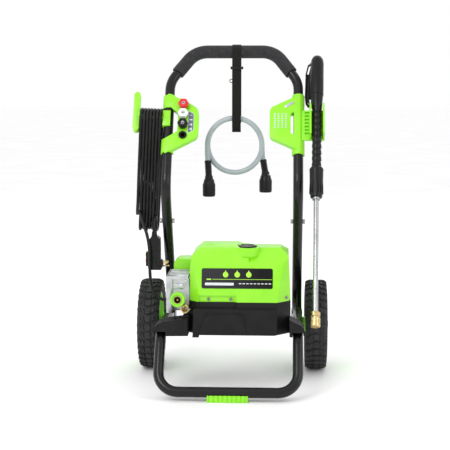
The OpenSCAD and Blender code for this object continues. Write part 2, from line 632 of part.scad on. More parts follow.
// ---- gun holder ----
cradle = [[194.6, 199], [228.4, 232.6]];
gun_y = -28;
module gun_panel() color(lime) on_handle() difference() {
    union() {
        from_front(17, panel_y) polygon([[172, 95], [172, 262], [158, 254], [102, 225], [96, 219], [93.5, 210],
            [93.5, 147], [96, 139], [101, 134], [158, 106]]);
        bar([side_x, 0, 92], [side_x, 0, 263], tube_r + 3.4);
        // cradle for the gun: ribbed web, back and two side walls
        translate([176, gun_y + 12.1, 130]) cube([cradle[1][1] - 176, 6.9, 83.5]);
        for (c = cradle) from_side(c[0], c[1]) polygon([[-9, 130], [-42, 136], [-45, 212], [-36, 225],
            [-24, 220], [-9, 218]]);
    }
    bar([side_x, 0, 60], [side_x, 0, 300], tube_r + gap);
    translate([150, 4, 60]) cube([35, 30, 240]);
    from_front(40, -30) polygon([[147, 149], [155, 144], [155, 210], [147, 204]]);
    for (i = [0:6]) translate([183, -20, 145 + 9.9 * i]) cube([13, 9, 5.4]);
    from_front(14, panel_y + 4) polygon([[100, 215], [140, 235], [140, 123], [100, 144]]);
}

// ---- spray gun and lance, lying in the cradle with the lance down ----
gun_x = 210.8;
gun_tilt = 0.72;
trigger_turn = -52;      // the trigger faces this way about the gun's own axis
module on_gun() on_handle() translate([gun_x, gun_y, 0]) rotate([0, gun_tilt, 0]) children();
pin_at = [-15, 345];

guard_r = 43;            // reach of the trigger guard from the gun's axis
module gun_body() color(ink) on_gun() {
    difference() {
        union() {
            rotate_extrude() polygon([[0, 214], [12.8, 214], [14.6, 236], [16.7, 262], [16.7, 345],
                [15, 355], [11, 362.5], [5, 366.5], [0, 367]]);
            rotate([0, 0, trigger_turn]) from_front(11, -5.5) polygon([[-6, 226], [-30, 226], [-40, 240],
                [-guard_r, 262], [-41, 330], [-32, 352], [-6, 356]]);
        }
        rotate([0, 0, trigger_turn]) {
            // window of the guard, and the slot in the body that the trigger swings in
            from_front(14, -7) polygon([[-18, 233], [-27, 233], [-35, 243], [-38, 262], [-36, 328],
                [-29, 345], [-18, 349]]);
            translate([-46, -4.3, 240]) cube([40, 8.6, 112]);
            ybar(-8, 8, pin_at.x, pin_at.y, 2.05);
        }
        translate([0, 0, 200]) cylinder(h = 38.3, r = 7);
    }
    // outer rail of the guard, across the slot
    rotate([0, 0, trigger_turn]) from_front(8.8, -4.4) polygon([[-30, 226], [-40, 240], [-guard_r, 262],
        [-41, 330], [-36, 328], [-38, 262], [-35, 243], [-27, 233], [-12, 233], [-12, 226]]);
}
// Lever in the guard, hinged at its upper end
module gun_trigger() color([0.1, 0.1, 0.11]) on_gun() rotate([0, 0, trigger_turn]) difference() {
    union() {
        ybar(-4, 4, pin_at.x, pin_at.y, 5);
        from_front(8, -4) polygon([[-12, 342], [-19, 344], [-24, 335], [-27, 310], [-30, 275], [-31, 252],
            [-27, 250], [-24, 262], [-21, 300], [-18, 325]]);
    }
    ybar(-10, 10, pin_at.x, pin_at.y, 2.05);
}
module trigger_pin() color(steel) on_gun() rotate([0, 0, trigger_turn]) ybar(-5.4, 5.4, pin_at.x, pin_at.y, 2);

module lance_grip() color(ink) on_gun() difference() {
    union() {
        translate([0, 0, 47]) cylinder(h = 166.9, r = 11);
        for (i = [0:5]) translate([0, 0, 60 + 26 * i]) cylinder(h = 12, r = 12);
        translate([0, 0, -36]) cylinder(h = 76, r1 = 14.8, r2 = 17.7);
        translate([0, 0, 40]) cylinder(h = 7, r1 = 17.7, r2 = 12);
        translate([0, 0, 213]) cylinder(h = 25, r = 6.9);
    }
    translate([0, 0, -40]) cylinder(h = 70, r = lance_d / 2 + 0.05);
}
lance_end = -370;
module lance_tube() color(steel) on_gun() difference() {
    union() {
        translate([0, 0, lance_end + 30]) cylinder(h = 369, r = lance_d / 2);
        translate([0, 0, -43]) cylinder(h = 6.5, r = 9.5);
    }
    translate([0, 0, lance_end]) cylinder(h = 420, r = lance_d / 2 - 1.5);
}
module coupler_body() color(brass) on_gun() difference() {
    union() {
        translate([0, 0, lance_end + 26]) cylinder(h = 11, r = coupler_d / 2, $fn = 6);
        translate([0, 0, lance_end + 2]) cylinder(h = 25, r = 8);
    }
    translate([0, 0, lance_end]) cylinder(h = 29.9, r = 5.6);
    translate([0, 0, lance_end + 29.95]) cylinder(h = 10, r = lance_d / 2 + 0.03);
}
module coupler_collar() color(brass) on_gun() difference() {
    translate([0, 0, lance_end]) cylinder(h = 22.6, r = coupler_d / 2);
    translate([0, 0, lance_end - 1]) cylinder(h = 30, r = 8.06);
    translate([0, 0, lance_end - 1]) cylinder(h = 3, r1 = 10, r2 = 8);
}

lower_frame();
handle_tube();
foam_grip();
frame_bolts();
foot_pad();
axle_brackets();
axle();
axle_caps();
tyre_left();
tyre_right();
rim_left();
rim_right();
base_tray();
upper_cover();
side_cover();
label_plate();
cover_screws();
tank_cap();
detergent_tank();
motor_stator();
motor_rotor();
motor_fan();
motor_bearings();
motor_end_plate();
pump_body();
pump_head();
wobble_plate();
pistons();
outlet_fitting();
outlet_collar();
inlet_fitting();
pressure_switch();
switch_frame();
power_switch();
power_cord();
cord_hank();
strain_relief();
plug_body();
plug_prongs();
test_button();
reset_button();
cord_hook();
hose();
hose_sleeves();
hose_nut_left();
hose_nut_right();
strap();
nozzle_panel();
nozzle_rings();
nozzle_red();
nozzle_white();
nozzle_black();
gun_panel();
gun_body();
gun_trigger();
trigger_pin();
lance_grip();
lance_tube();
coupler_body();
coupler_collar();
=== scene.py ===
# Upright electric pressure washer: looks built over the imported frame, in metres.
import math

import bpy
from mathutils import Matrix, Vector


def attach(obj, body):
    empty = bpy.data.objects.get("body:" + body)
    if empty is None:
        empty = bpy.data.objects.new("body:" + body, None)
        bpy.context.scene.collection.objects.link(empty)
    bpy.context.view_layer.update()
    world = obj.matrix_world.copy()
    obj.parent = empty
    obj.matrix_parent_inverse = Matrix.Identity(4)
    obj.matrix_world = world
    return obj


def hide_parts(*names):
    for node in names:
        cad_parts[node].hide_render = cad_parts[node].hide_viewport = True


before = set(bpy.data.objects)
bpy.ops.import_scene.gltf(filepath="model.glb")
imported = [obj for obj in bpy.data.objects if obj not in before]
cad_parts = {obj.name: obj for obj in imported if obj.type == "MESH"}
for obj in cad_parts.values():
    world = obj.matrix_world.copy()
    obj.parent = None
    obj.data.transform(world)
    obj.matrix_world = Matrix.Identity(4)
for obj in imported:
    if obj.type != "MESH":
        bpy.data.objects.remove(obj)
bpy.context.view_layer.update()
scene = bpy.context.scene
mm = 0.001
print("frame loaded")

# ---------- camera ----------
view = {"place": (0.1265, -2.951, 0.756), "pitch": 83.0, "yaw": 2.78, "lens": 94.64}
cameraData = bpy.data.cameras.new("camera")
cameraData.lens = view["lens"]
cameraData.sensor_width = 36
cameraData.clip_end = 60
camera = bpy.data.objects.new("camera", cameraData)
camera.location = view["place"]
camera.rotation_euler = (math.radians(view["pitch"]), 0, math.radians(view["yaw"]))
scene.collection.objects.link(camera)
scene.camera = camera


def linearColour(code):
    # sRGB hex to linear
    parts = [int(code[i : i + 2], 16) / 255 for i in (1, 3, 5)]
    return tuple(p / 12.92 if p <= 0.04045 else ((p + 0.055) / 1.055) ** 2.4 for p in parts) + (1.0,)


def addNode(tree, kind, inputs=None, **settings):
    node = tree.nodes.new(kind)
    for key, value in settings.items():
        setattr(node, key, value)
    for key, value in (inputs or {}).items():
        if isinstance(value, bpy.types.NodeSocket):
            tree.links.new(value, node.inputs[key])
        else:
            node.inputs[key].default_value = value
    return node


def deselectAll():
    if bpy.context.object and bpy.context.object.mode != "OBJECT":
        bpy.ops.object.mode_set(mode="OBJECT")
    bpy.ops.object.select_all(action="DESELECT")


def pick(piece):
    deselectAll()
    piece.select_set(True)
    bpy.context.view_layer.objects.active = piece


def settle(piece):
    # place, turn and scale go into the mesh
    pick(piece)
    bpy.ops.object.transform_apply(location=True, rotation=True, scale=True)
    return piece


def moveMesh(piece, matrix):
    piece.data.transform(matrix)
    if matrix.determinant() < 0:
        piece.data.flip_normals()
    return piece


def applyModifier(piece, kind, **settings):
    pick(piece)
    modifier = piece.modifiers.new(kind.lower(), kind)
    for key, value in settings.items():
        setattr(modifier, key, value)
    bpy.ops.object.modifier_apply(modifier=modifier.name)
    return piece


def softEdges(piece, width, segments=2, angle=32):
    applyModifier(piece, "BEVEL", width=width * mm, segments=segments, limit_method="ANGLE",
                  angle_limit=math.radians(angle), harden_normals=False, use_clamp_overlap=True)
    return piece


def smoothSides(piece, angle=35):
    pick(piece)
    bpy.ops.object.shade_smooth_by_angle(angle=math.radians(angle))
    return piece


def joinAll(pieces, name):
    deselectAll()
    for piece in pieces:
        piece.select_set(True)
    bpy.context.view_layer.objects.active = pieces[0]
    if len(pieces) > 1:
        bpy.ops.object.join()
    pieces[0].name = name
    return pieces[0]


def copyOf(piece, matrix):
    twin = piece.copy()
    twin.data = piece.data.copy()
    scene.collection.objects.link(twin)
    return moveMesh(twin, matrix)


def block(low, high, name="block"):
    # a box from its two corners, in mm
    deselectAll()
    bpy.ops.mesh.primitive_cube_add(size=1, location=[(a + b) / 2 * mm for a, b in zip(low, high)])
    piece = bpy.context.object
    piece.scale = [(b - a) * mm for a, b in zip(low, high)]
    piece.name = name
    return settle(piece)


def rod(start, end, radius, sides=32):
    # a round bar between two points, in mm
    a, b = Vector(start) * mm, Vector(end) * mm
    turn = (b - a).to_track_quat("Z", "Y").to_euler()
    deselectAll()
    bpy.ops.mesh.primitive_cone_add(vertices=sides, radius1=radius * mm, radius2=radius * mm,
                                    depth=(b - a).length, location=(a + b) / 2, rotation=turn)
    return settle(bpy.context.object)


def editWhole(piece, *steps):
    # mesh operators, with their settings, on all of the piece
    pick(piece)
    bpy.ops.object.mode_set(mode="EDIT")
    for operator, settings in steps:
        bpy.ops.mesh.select_all(action="SELECT")
        operator(**settings)
    bpy.ops.object.mode_set(mode="OBJECT")
    return piece


outwards = (bpy.ops.mesh.normals_make_consistent, {"inside": False})


def meshPiece(points, edges, faces, name):
    data = bpy.data.meshes.new(name)
    data.from_pydata(points, edges, faces)
    piece = bpy.data.objects.new(name, data)
    scene.collection.objects.link(piece)
    return piece


def torus(ring, wire, spot, turn=(0, 0, 0), steps=32, sides=8):
    # a ring of round wire, in mm
    deselectAll()
    bpy.ops.mesh.primitive_torus_add(major_radius=ring * mm, minor_radius=wire * mm, major_segments=steps,
                                     minor_segments=sides, location=Vector(spot) * mm, rotation=turn)
    return settle(bpy.context.object)


def turned(profile, name, matrix=None, steps=64, close=False):
    # a profile of (radius, height) in mm spun about the local Z
    points = [(r * mm, 0, z * mm) for r, z in profile]
    edges = [(i, i + 1) for i in range(len(points) - 1)] + ([(len(points) - 1, 0)] if close else [])
    piece = meshPiece(points, edges, [], name)
    spin = {"steps": steps, "angle": 2 * math.pi, "center": (0, 0, 0), "axis": (0, 0, 1), "use_auto_merge": True}
    editWhole(piece, (bpy.ops.mesh.spin, spin), (bpy.ops.mesh.remove_doubles, {"threshold": 0.00002}), outwards)
    return moveMesh(piece, matrix) if matrix else piece


def slab(outline, low, high, name, matrix=None):
    # an outline in (x, y) mm given thickness along the local Z
    points = [(x * mm, y * mm, low * mm) for x, y in outline]
    piece = meshPiece(points, [], [list(range(len(outline)))], name)
    rise = {"TRANSFORM_OT_translate": {"value": (0, 0, (high - low) * mm)}}
    editWhole(piece, (bpy.ops.mesh.extrude_region_move, rise), outwards)
    return moveMesh(piece, matrix) if matrix else piece


def tubeAlong(points, radius, name, sides=12, asMesh=True, caps=True):
    # a round tube on a smooth line of points in metres
    data = bpy.data.curves.new(name, "CURVE")
    data.dimensions = "3D"
    data.bevel_depth = radius
    data.bevel_resolution = max(1, sides // 2 - 2)
    data.use_fill_caps = caps
    data.resolution_u = 1
    line = data.splines.new("POLY")
    line.points.add(len(points) - 1)
    for node, point in zip(line.points, points):
        node.co = (*point, 1)
    piece = bpy.data.objects.new(name, data)
    scene.collection.objects.link(piece)
    if asMesh:
        pick(piece)
        bpy.ops.object.convert(target="MESH")
        piece = bpy.context.object
        piece.name = name
    return piece


def cadCopy(node, bevel=0.0, segments=2, angle=32):
    # a merged copy of a CAD node with softened edges
    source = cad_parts[node]
    piece = bpy.data.objects.new(node + ".shell", source.data.copy())
    scene.collection.objects.link(piece)
    piece.data.materials.clear()
    editWhole(piece, (bpy.ops.mesh.remove_doubles, {"threshold": 0.00001}),
              (bpy.ops.mesh.dissolve_limited, {"angle_limit": math.radians(0.6)}))
    if bevel:
        softEdges(piece, bevel, segments, angle)
    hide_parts(node)
    return piece


def finishPiece(piece, material, body="frame", smooth=35, node=None):
    if node:
        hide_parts(node)
    piece.data.materials.clear()
    piece.data.materials.append(material)
    if piece.type == "MESH" and smooth:
        smoothSides(piece, smooth)
    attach(piece, body)
    return piece


def roundedCorners(points, radii, steps=9):
    # the points with each inner corner rounded
    path = [Vector(points[0])]
    for i in range(1, len(points) - 1):
        before, here, after = (Vector(points[k]) for k in (i - 1, i, i + 1))
        u, v = (here - before).normalized(), (after - here).normalized()
        half = u.angle(v) / 2
        inward = (v - u * u.dot(v)).normalized()
        centre = here - u * radii[i] * math.tan(half) + inward * radii[i]
        for k in range(steps + 1):
            t = 2 * half * k / steps
            path.append(centre + radii[i] * (u * math.sin(t) - inward * math.cos(t)))
    return path + [Vector(points[-1])]


def catmull(points, steps):
    # a smooth line through the points
    path = []
    for i in range(len(points) - 1):
        a, b, c, d = (Vector(points[min(max(k, 0), len(points) - 1)]) for k in (i - 1, i, i + 1, i + 2))
        for k in range(steps):
            t = k / steps
            path.append(0.5 * (2 * b + (c - a) * t + (2 * a - 5 * b + 4 * c - d) * t * t
                               + (3 * b - a - 3 * c + d) * t**3))
    return path + [Vector(points[-1])]


def lengthOf(points):
    return sum((Vector(b) - Vector(a)).length for a, b in zip(points, points[1:]))


# ---------- where things are, in mm, as in the part's source ----------
lay = {"sideX": 166.5, "footY": -224, "footZ": 21.5, "railZ": 146, "frontY": -139, "rearY": 176,
       "bendY": -2, "bendZ": 485, "lean": 30, "tube": 12.7, "wall": 1.6, "seam": 107, "axleY": 121, "axleZ": 117,
       "wheelX": 216, "coverFront": -140, "slope": 21 / 128}
handleFrame = Matrix.Translation((0, lay["bendY"] * mm, lay["bendZ"] * mm)) @ Matrix.Rotation(
    math.radians(-lay["lean"]), 4, "X")
gunFrame = handleFrame @ Matrix.Translation((0.2108, -0.028, 0)) @ Matrix.Rotation(math.radians(0.72), 4, "Y")


def onHandle(x, y, w):
    return handleFrame @ (Vector((x, y, w)) * mm)


def belowBend(x, d):
    way = Vector((0, lay["rearY"] - lay["bendY"], lay["railZ"] - lay["bendZ"])).normalized()
    return (Vector((x, lay["bendY"], lay["bendZ"])) + way * d) * mm


def frontMatrix(y):
    # local X and Y become X and Z; local Z faces the front from the plane at y
    return Matrix.Translation((0, y * mm, 0)) @ Matrix.Rotation(math.pi / 2, 4, "X")


# the same turn in the handle's leaning frame, for what is on the two panels
panelFrame = handleFrame @ frontMatrix(0)

# ---------- materials ----------
def surfaceMaterial(name, colour, second=None, patch=30, metallic=0.0, rough=(0.4, 0.5), grain=1.0,
                    bump=0.1, stretch=(1, 1, 1), coat=0.0, coatRough=0.08, sheen=0.0, ior=1.5, detail=3):
    # colour wanders between two shades in patches, roughness too, over a fine grain; sizes in mm
    material = bpy.data.materials.new(name)
    material.use_nodes = True
    tree = material.node_tree
    shader = tree.nodes["Principled BSDF"]
    shader.inputs["Metallic"].default_value = metallic
    if metallic < 0.5:
        shader.inputs["IOR"].default_value = ior
    shader.inputs["Coat Weight"].default_value = coat
    shader.inputs["Coat Roughness"].default_value = coatRough
    if sheen:
        shader.inputs["Sheen Weight"].default_value = sheen
        shader.inputs["Sheen Roughness"].default_value = 0.5
    place = addNode(tree, "ShaderNodeTexCoord").outputs["Object"]
    scaled = addNode(tree, "ShaderNodeMapping", {"Vector": place, "Scale": stretch}).outputs[0]
    wander = addNode(tree, "ShaderNodeTexNoise", {"Vector": scaled, "Scale": 1000 / patch, "Detail": 2.0})
    shades = addNode(tree, "ShaderNodeValToRGB", {"Fac": wander.outputs[0]})
    shades.color_ramp.elements[0].position = 0.35
    shades.color_ramp.elements[1].position = 0.65
    shades.color_ramp.elements[0].color = linearColour(colour)
    shades.color_ramp.elements[1].color = linearColour(second or colour)
    tree.links.new(shades.outputs[0], shader.inputs["Base Color"])
    fine = addNode(tree, "ShaderNodeTexNoise", {"Vector": scaled, "Scale": 1000 / grain, "Detail": detail})
    dull = addNode(tree, "ShaderNodeMapRange", {"Value": fine.outputs[0], "From Min": 0.3, "From Max": 0.7,
                                                "To Min": rough[0], "To Max": rough[1]})
    tree.links.new(dull.outputs[0], shader.inputs["Roughness"])
    relief = addNode(tree, "ShaderNodeBump", {"Height": fine.outputs[0], "Strength": bump,
                                              "Distance": grain * 0.2 * mm})
    tree.links.new(relief.outputs[0], shader.inputs["Normal"])
    return material


# powder-coated steel tube: deep black, glossy, with a faint orange peel
coatedSteel = surfaceMaterial("powderCoatedSteel", "#09090a", "#0e0e0f", 60, rough=(0.2, 0.3), grain=3,
                              bump=0.12, coat=0.12, coatRough=0.14, ior=1.36)
# closed-cell nitrile foam: dark grey, dull, tiny open pores
gripFoam = surfaceMaterial("nitrileFoam", "#28282a", "#323234", 12, rough=(0.78, 0.95), grain=1.6, bump=0.55,
                           sheen=0.08, detail=6, ior=1.35)
# moulded ABS in lime green: smooth semi-gloss skin with slow sink marks
limeAbs = surfaceMaterial("limeMouldedAbs", "#8ade18", "#92e422", 45, rough=(0.3, 0.4), grain=2.2, bump=0.05,
                          coat=0.12, coatRough=0.25)
# moulded polypropylene in black: fine spark-eroded grain
blackPolypropylene = surfaceMaterial("blackPolypropylene", "#0d0d0e", "#151516", 35, rough=(0.42, 0.56),
                                     grain=1.4, bump=0.3, ior=1.32)
# glass-filled nylon: smoother and shinier black, for caps and the gun
blackNylon = surfaceMaterial("blackNylon", "#0a0a0b", "#101011", 25, rough=(0.26, 0.38), grain=1.8, bump=0.15,
                             ior=1.36)
# styrene-butadiene tyre rubber: charcoal with a dusty bloom
tyreRubber = surfaceMaterial("tyreRubber", "#2a2a2b", "#363637", 18, rough=(0.6, 0.8), grain=1.2, bump=0.4,
                             ior=1.35)
# soft PVC sheath: black, satin
cordPvc = surfaceMaterial("blackCordPvc", "#0c0c0c", "#141414", 15, rough=(0.34, 0.46), grain=2, bump=0.1,
                          ior=1.36)
# reinforced PVC hose: pale cool grey, satin
hosePvc = surfaceMaterial("greyHosePvc", "#a3abb3", "#adb4bb", 30, rough=(0.3, 0.4), grain=3, bump=0.05,
                          coat=0.1)
# ground stainless steel tube: fine scratches along its length
stainless = surfaceMaterial("groundStainless", "#a0a2a3", "#b4b6b6", 14, metallic=1, rough=(0.2, 0.36),
                            grain=1.6, bump=0.12, stretch=(1, 0.5, 0.12))
# zinc-plated screws and bolts
zincPlate = surfaceMaterial("zincPlatedSteel", "#9ea0a2", "#b6b7b4", 5, metallic=1, rough=(0.28, 0.42),
                            grain=0.9, bump=0.15)
# turned brass: warm, bright, with faint tool marks
turnedBrass = surfaceMaterial("turnedBrass", "#cbb078", "#e0cb98", 8, metallic=1, rough=(0.18, 0.32),
                              grain=0.8, bump=0.12)
# die-cast aluminium: light grey, slightly sandy skin
castAluminium = surfaceMaterial("dieCastAluminium", "#b2b5b7", "#c8cbcc", 16, metallic=1, rough=(0.32, 0.5),
                                grain=1.5, bump=0.35)
# hidden iron and steel of the motor
motorIron = surfaceMaterial("laminatedIron", "#4c4d4f", "#5f6062", 6, metallic=1, rough=(0.4, 0.6), grain=1,
                            bump=0.3, stretch=(8, 1, 1))
tankPolythene = surfaceMaterial("naturalPolythene", "#d9dcd6", "#e6e8e2", 20, rough=(0.4, 0.5), grain=2,
                                bump=0.1)
# small parts in bright moulded ABS
brightSkin = {"patch": 12, "rough": (0.25, 0.36), "grain": 1.5, "bump": 0.08}
redAbs = surfaceMaterial("redMouldedAbs", "#d8101f", "#e51c2c", **brightSkin)
whiteAbs = surfaceMaterial("whiteMouldedAbs", "#f0f0ee", "#f8f8f6", **brightSkin)
yellowAbs = surfaceMaterial("yellowMouldedAbs", "#e3b51d", "#edc232", **brightSkin)
# printed vinyl labels
labelSlate = surfaceMaterial("slateVinyl", "#566070", "#5e6878", 25, rough=(0.34, 0.44), grain=2, bump=0.05)
labelPale = surfaceMaterial("paleVinylInk", "#c9cfd3", "#d7dbde", 20, rough=(0.36, 0.46), grain=2, bump=0.05)
silverInk = surfaceMaterial("silverVinyl", "#b4b7ba", "#c9cbcd", 14, metallic=0.6, rough=(0.3, 0.42), grain=2,
                            bump=0.05)


def wovenMaterial():
    # polyester webbing: ribs across the strap every 1.6 mm and finer threads between them
    material = bpy.data.materials.new("polyesterWebbing")
    material.use_nodes = True
    tree = material.node_tree
    shader = tree.nodes["Principled BSDF"]
    shader.inputs["Roughness"].default_value = 0.85
    shader.inputs["Sheen Weight"].default_value = 0.1
    shader.inputs["IOR"].default_value = 1.35
    place = addNode(tree, "ShaderNodeTexCoord").outputs["Object"]
    ribs = addNode(tree, "ShaderNodeTexWave", {"Vector": place, "Scale": 1000 / 1.6 / 6.283, "Distortion": 0.4},
                   bands_direction="Z")
    threads = addNode(tree, "ShaderNodeTexWave", {"Vector": place, "Scale": 1000 / 1.1 / 6.283,
                                                  "Distortion": 0.6}, bands_direction="X")
    weave = addNode(tree, "ShaderNodeMath", {0: ribs.outputs["Fac"], 1: threads.outputs["Fac"]},
                    operation="MULTIPLY")
    shades = addNode(tree, "ShaderNodeValToRGB", {"Fac": weave.outputs[0]})
    shades.color_ramp.elements[0].color = linearColour("#0c0b0a")
    shades.color_ramp.elements[1].color = linearColour("#1f1c1a")
    tree.links.new(shades.outputs[0], shader.inputs["Base Color"])
    relief = addNode(tree, "ShaderNodeBump", {"Height": weave.outputs[0], "Strength": 0.5,
                                              "Distance": 0.0004})
    tree.links.new(relief.outputs[0], shader.inputs["Normal"])
    return material


webbing = wovenMaterial()
print("materials made")

# ---------- power cord: lead, seven hanging turns and the plug's tail ----------
powerCord = {"across": 8.2, "turns": 7, "top": (-209.5, 96, 684), "tilt": 2.6, "width": 58, "drop": 322,
             "depth": 58, "exit": (-148, 20, 197), "length": 5.15}
lead = [(-148, 20, 197), (-158, 20, 197), (-169, 20, 197), (-183, 21, 200), (-195, 22, 209), (-203, 22, 223),
        (-208, 22, 244), (-210, 22, 272), (-210, 22, 306), (-212, 24, 336), (-219, 34, 366), (-231, 50, 394),
        (-241, 64, 420)]
tail = [(-198.5, 64, 406), (-200, 54, 392), (-200.5, 49, 380), (-200.5, 48, 368)]


def hankTurns(spec):
    place = Matrix.Translation(Vector(spec["top"])) @ Matrix.Rotation(math.radians(spec["tilt"]), 4, "Y")
    reach = spec["depth"] / 2 - spec["across"] / 2
    step = (spec["width"] - spec["across"]) / (spec["turns"] - 1)
    sag = [0, 3, 6, 2, 7, 4, 1, 3]
    halfTurn = [math.pi * k / 10 for k in range(11)]
    points = []
    for turn in range(spec["turns"]):
        x0 = -spec["width"] / 2 + spec["across"] / 2 + step * turn
        last = turn == spec["turns"] - 1
        low = -spec["drop"] + spec["depth"] / 2 + sag[turn]
        high = -spec["depth"] / 2 - 0.2
        shape = [(-reach, low + 20 + 30 * k) for k in range(0, 8)]
        shape += [(-reach * math.cos(a), high + reach * math.sin(a)) for a in halfTurn]
        shape += [(reach, high - 30 * k) for k in range(1, 9)]
        low = -spec["drop"] + spec["depth"] / 2 + sag[turn + 1]
        shape += [(reach * math.cos(a), low - reach * math.sin(a)) for a in halfTurn[: 9 if last else 11]]
        for k, (y, z) in enumerate(shape):
            x = x0 if last else x0 + step * max(0, (k / (len(shape) - 1) - 0.45) / 0.55)
            points.append(place @ Vector((x, y + 0.8 * math.sin(k * 1.3 + turn * 2.1), z)))
    return points


cordLine = [Vector(p) for p in lead] + hankTurns(powerCord) + [Vector(p) for p in tail]
cordLine = catmull([p * mm for p in cordLine], 3)
cordPiece = tubeAlong(cordLine, powerCord["across"] / 2 * mm, "powerCord", 12, asMesh=False)
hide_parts("power_cord", "cord_hank")
finishPiece(cordPiece, cordPvc, "frame")
print("cord length", round(lengthOf(cordLine), 3))

# ---------- inlet hose: one and a half turns with a fitting on each end ----------
inletHose = {"across": 14, "loop": 72, "centre": (0, 190, 583.5), "spread": 24,
             "left": (-68, 178.5, 448), "right": (82, 201.5, 457.5), "nut": 46, "length": 0.87}


def hoseLine(spec):
    left, right, rise = spec["left"], spec["right"], spec["nut"]
    points = [(left[0], left[1], left[2] + rise), (-69.5, 178.4, 520), (-71.5, 178.2, 552)]
    for k in range(49):
        t = k / 48
        angle = 3 * math.pi * t
        points.append((spec["centre"][0] - spec["loop"] * math.cos(angle),
                       spec["centre"][1] + spec["spread"] * (t - 0.5),
                       spec["centre"][2] + spec["loop"] * math.sin(angle)))
    points += [(73.5, 201.9, 552), (78, 201.7, 528), (right[0], right[1], right[2] + rise)]
    return catmull([Vector(p) * mm for p in points], 3)


hosePath = hoseLine(inletHose)
hosePiece = tubeAlong(hosePath, inletHose["across"] / 2 * mm, "inletHose", 20, asMesh=False)
finishPiece(hosePiece, hosePvc, "frame", node="hose")
print("hose length", round(lengthOf(hosePath), 3))

sleeves = {"radius": 9.2, "grooves": 6}


def hoseSleeve(top, bottom, name):
    # a moulded sleeve with ring grooves, open where the hose runs through it
    a, b = Vector(top) * mm, Vector(bottom) * mm
    turn = Matrix.Translation(b) @ (a - b).to_track_quat("Z", "Y").to_matrix().to_4x4()
    height = (a - b).length / mm
    outer = sleeves["radius"]
    profile = [(7.1, 0), (outer + 1.6, 0), (outer + 1.6, 6), (outer, 8)]
    for k in range(sleeves["grooves"]):
        z = 12 + k * (height - 18) / sleeves["grooves"]
        profile += [(outer, z), (outer - 0.9, z + 1), (outer - 0.9, z + 2.4), (outer, z + 3.4)]
    profile += [(outer - 0.3, height - 1.2), (8.2, height), (7.1, height)]
    return turned(profile, name, turn, 40, close=True)


left, right, rise = inletHose["left"], inletHose["right"], inletHose["nut"]
sleevePieces = [hoseSleeve((-70.9, 178.3, 544), (left[0] - 0.1, left[1], left[2] + rise + 0.2), "sleeveLeft"),
                hoseSleeve((75, 201.8, 545), (right[0], right[1], right[2] + rise + 0.2), "sleeveRight")]
sleevePiece = joinAll(sleevePieces, "hoseSleeves")
finishPiece(sleevePiece, blackNylon, "frame", node="hose_sleeves")


def hoseNut(spot, name):
    # knurled nut: a turned body with 20 finger ribs round it
    place = Matrix.Translation(Vector(spot) * mm)
    body = turned([(11, 0), (15.2, 0), (16.2, 1.2), (16.2, 34), (15.2, 36), (14.6, 38), (13.2, 45),
                   (12, rise), (0, rise), (0, 23), (11, 23)], name, place, 60)
    ribs = []
    for k in range(20):
        angle = 2 * math.pi * k / 20
        rib = softEdges(block((15.4, -1.3, 3), (16.8, 1.3, 33)), 0.5)
        moveMesh(rib, place @ Matrix.Rotation(angle, 4, "Z"))
        ribs.append(rib)
    return joinAll([body] + ribs, name)


for side in ("left", "right"):
    nut = hoseNut(inletHose[side], "hoseNut" + side.capitalize())
    finishPiece(nut, blackNylon, "hose_nut_" + side, node="hose_nut_" + side)
print("cord and hose laid")

# ---------- frame tubes, foam grip, bolts ----------
railBends = ((lay["rearY"], lay["railZ"]), (lay["frontY"], lay["railZ"]), (lay["footY"], lay["footZ"]))
rightRail = [belowBend(lay["sideX"], lay["seam"])]
rightRail += [Vector((lay["sideX"], y, z)) * mm for y, z in railBends]
rightUpper = [belowBend(lay["sideX"], lay["seam"]), Vector((lay["sideX"], lay["bendY"], lay["bendZ"])) * mm,
              onHandle(lay["sideX"], 0, 306.3), onHandle(103, 0, 397)]


def bothSides(points):
    return [Vector((-p.x, p.y, p.z)) for p in points] + list(reversed(points))


lowerLine = roundedCorners(bothSides(rightRail), [0, 0.05, 0.06, 0.048, 0.048, 0.06, 0.05, 0])
upperLine = roundedCorners(bothSides(rightUpper), [0, 0.07, 0.075, 0.06, 0.06, 0.075, 0.07, 0])


def frameTube(line, name, node):
    tube = tubeAlong(line, lay["tube"] * mm, name, 32, caps=False)
    applyModifier(tube, "SOLIDIFY", thickness=lay["wall"] * mm, offset=-1)
    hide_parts(node)
    return finishPiece(tube, coatedSteel, "frame")


frameTube(lowerLine, "lowerTube", "lower_frame")
frameTube(upperLine, "handleTube", "handle_tube")

foamSpec = {"radius": 17, "end": (148.5, 332), "slant": (103, 397), "wall": 4, "edge": 1.6}
foamLine = roundedCorners([onHandle(-foamSpec["end"][0], 0, foamSpec["end"][1]),
                           onHandle(-foamSpec["slant"][0], 0, foamSpec["slant"][1]),
                           onHandle(foamSpec["slant"][0], 0, foamSpec["slant"][1]),
                           onHandle(foamSpec["end"][0], 0, foamSpec["end"][1])], [0, 0.06, 0.06, 0], 16)
foamPiece = tubeAlong(foamLine, foamSpec["radius"] * mm, "foamGrip", 36, caps=False)
applyModifier(foamPiece, "SOLIDIFY", thickness=foamSpec["wall"] * mm, offset=-1)
softEdges(foamPiece, foamSpec["edge"], 3, 60)
finishPiece(foamPiece, gripFoam, "frame", node="foam_grip")

boltPieces = []
for s in (-1, 1):
    spot = belowBend(s * lay["sideX"], 98) / mm
    along = Vector((1, 0, 0))
    left = rod(spot - along * 18.6, spot - along * 13, 6.2, sides=6 if s > 0 else 32)
    right = rod(spot + along * 13, spot + along * 18.6, 6.2, sides=32 if s > 0 else 6)
    shank = rod(spot - along * 17, spot + along * 17, 3, sides=20)
    boltPieces += [softEdges(left, 0.9, 3), softEdges(right, 0.9, 3), shank]
boltPiece = joinAll(boltPieces, "frameBolts")
finishPiece(boltPiece, zincPlate, "frame", node="frame_bolts")
print("tubes and grip made")

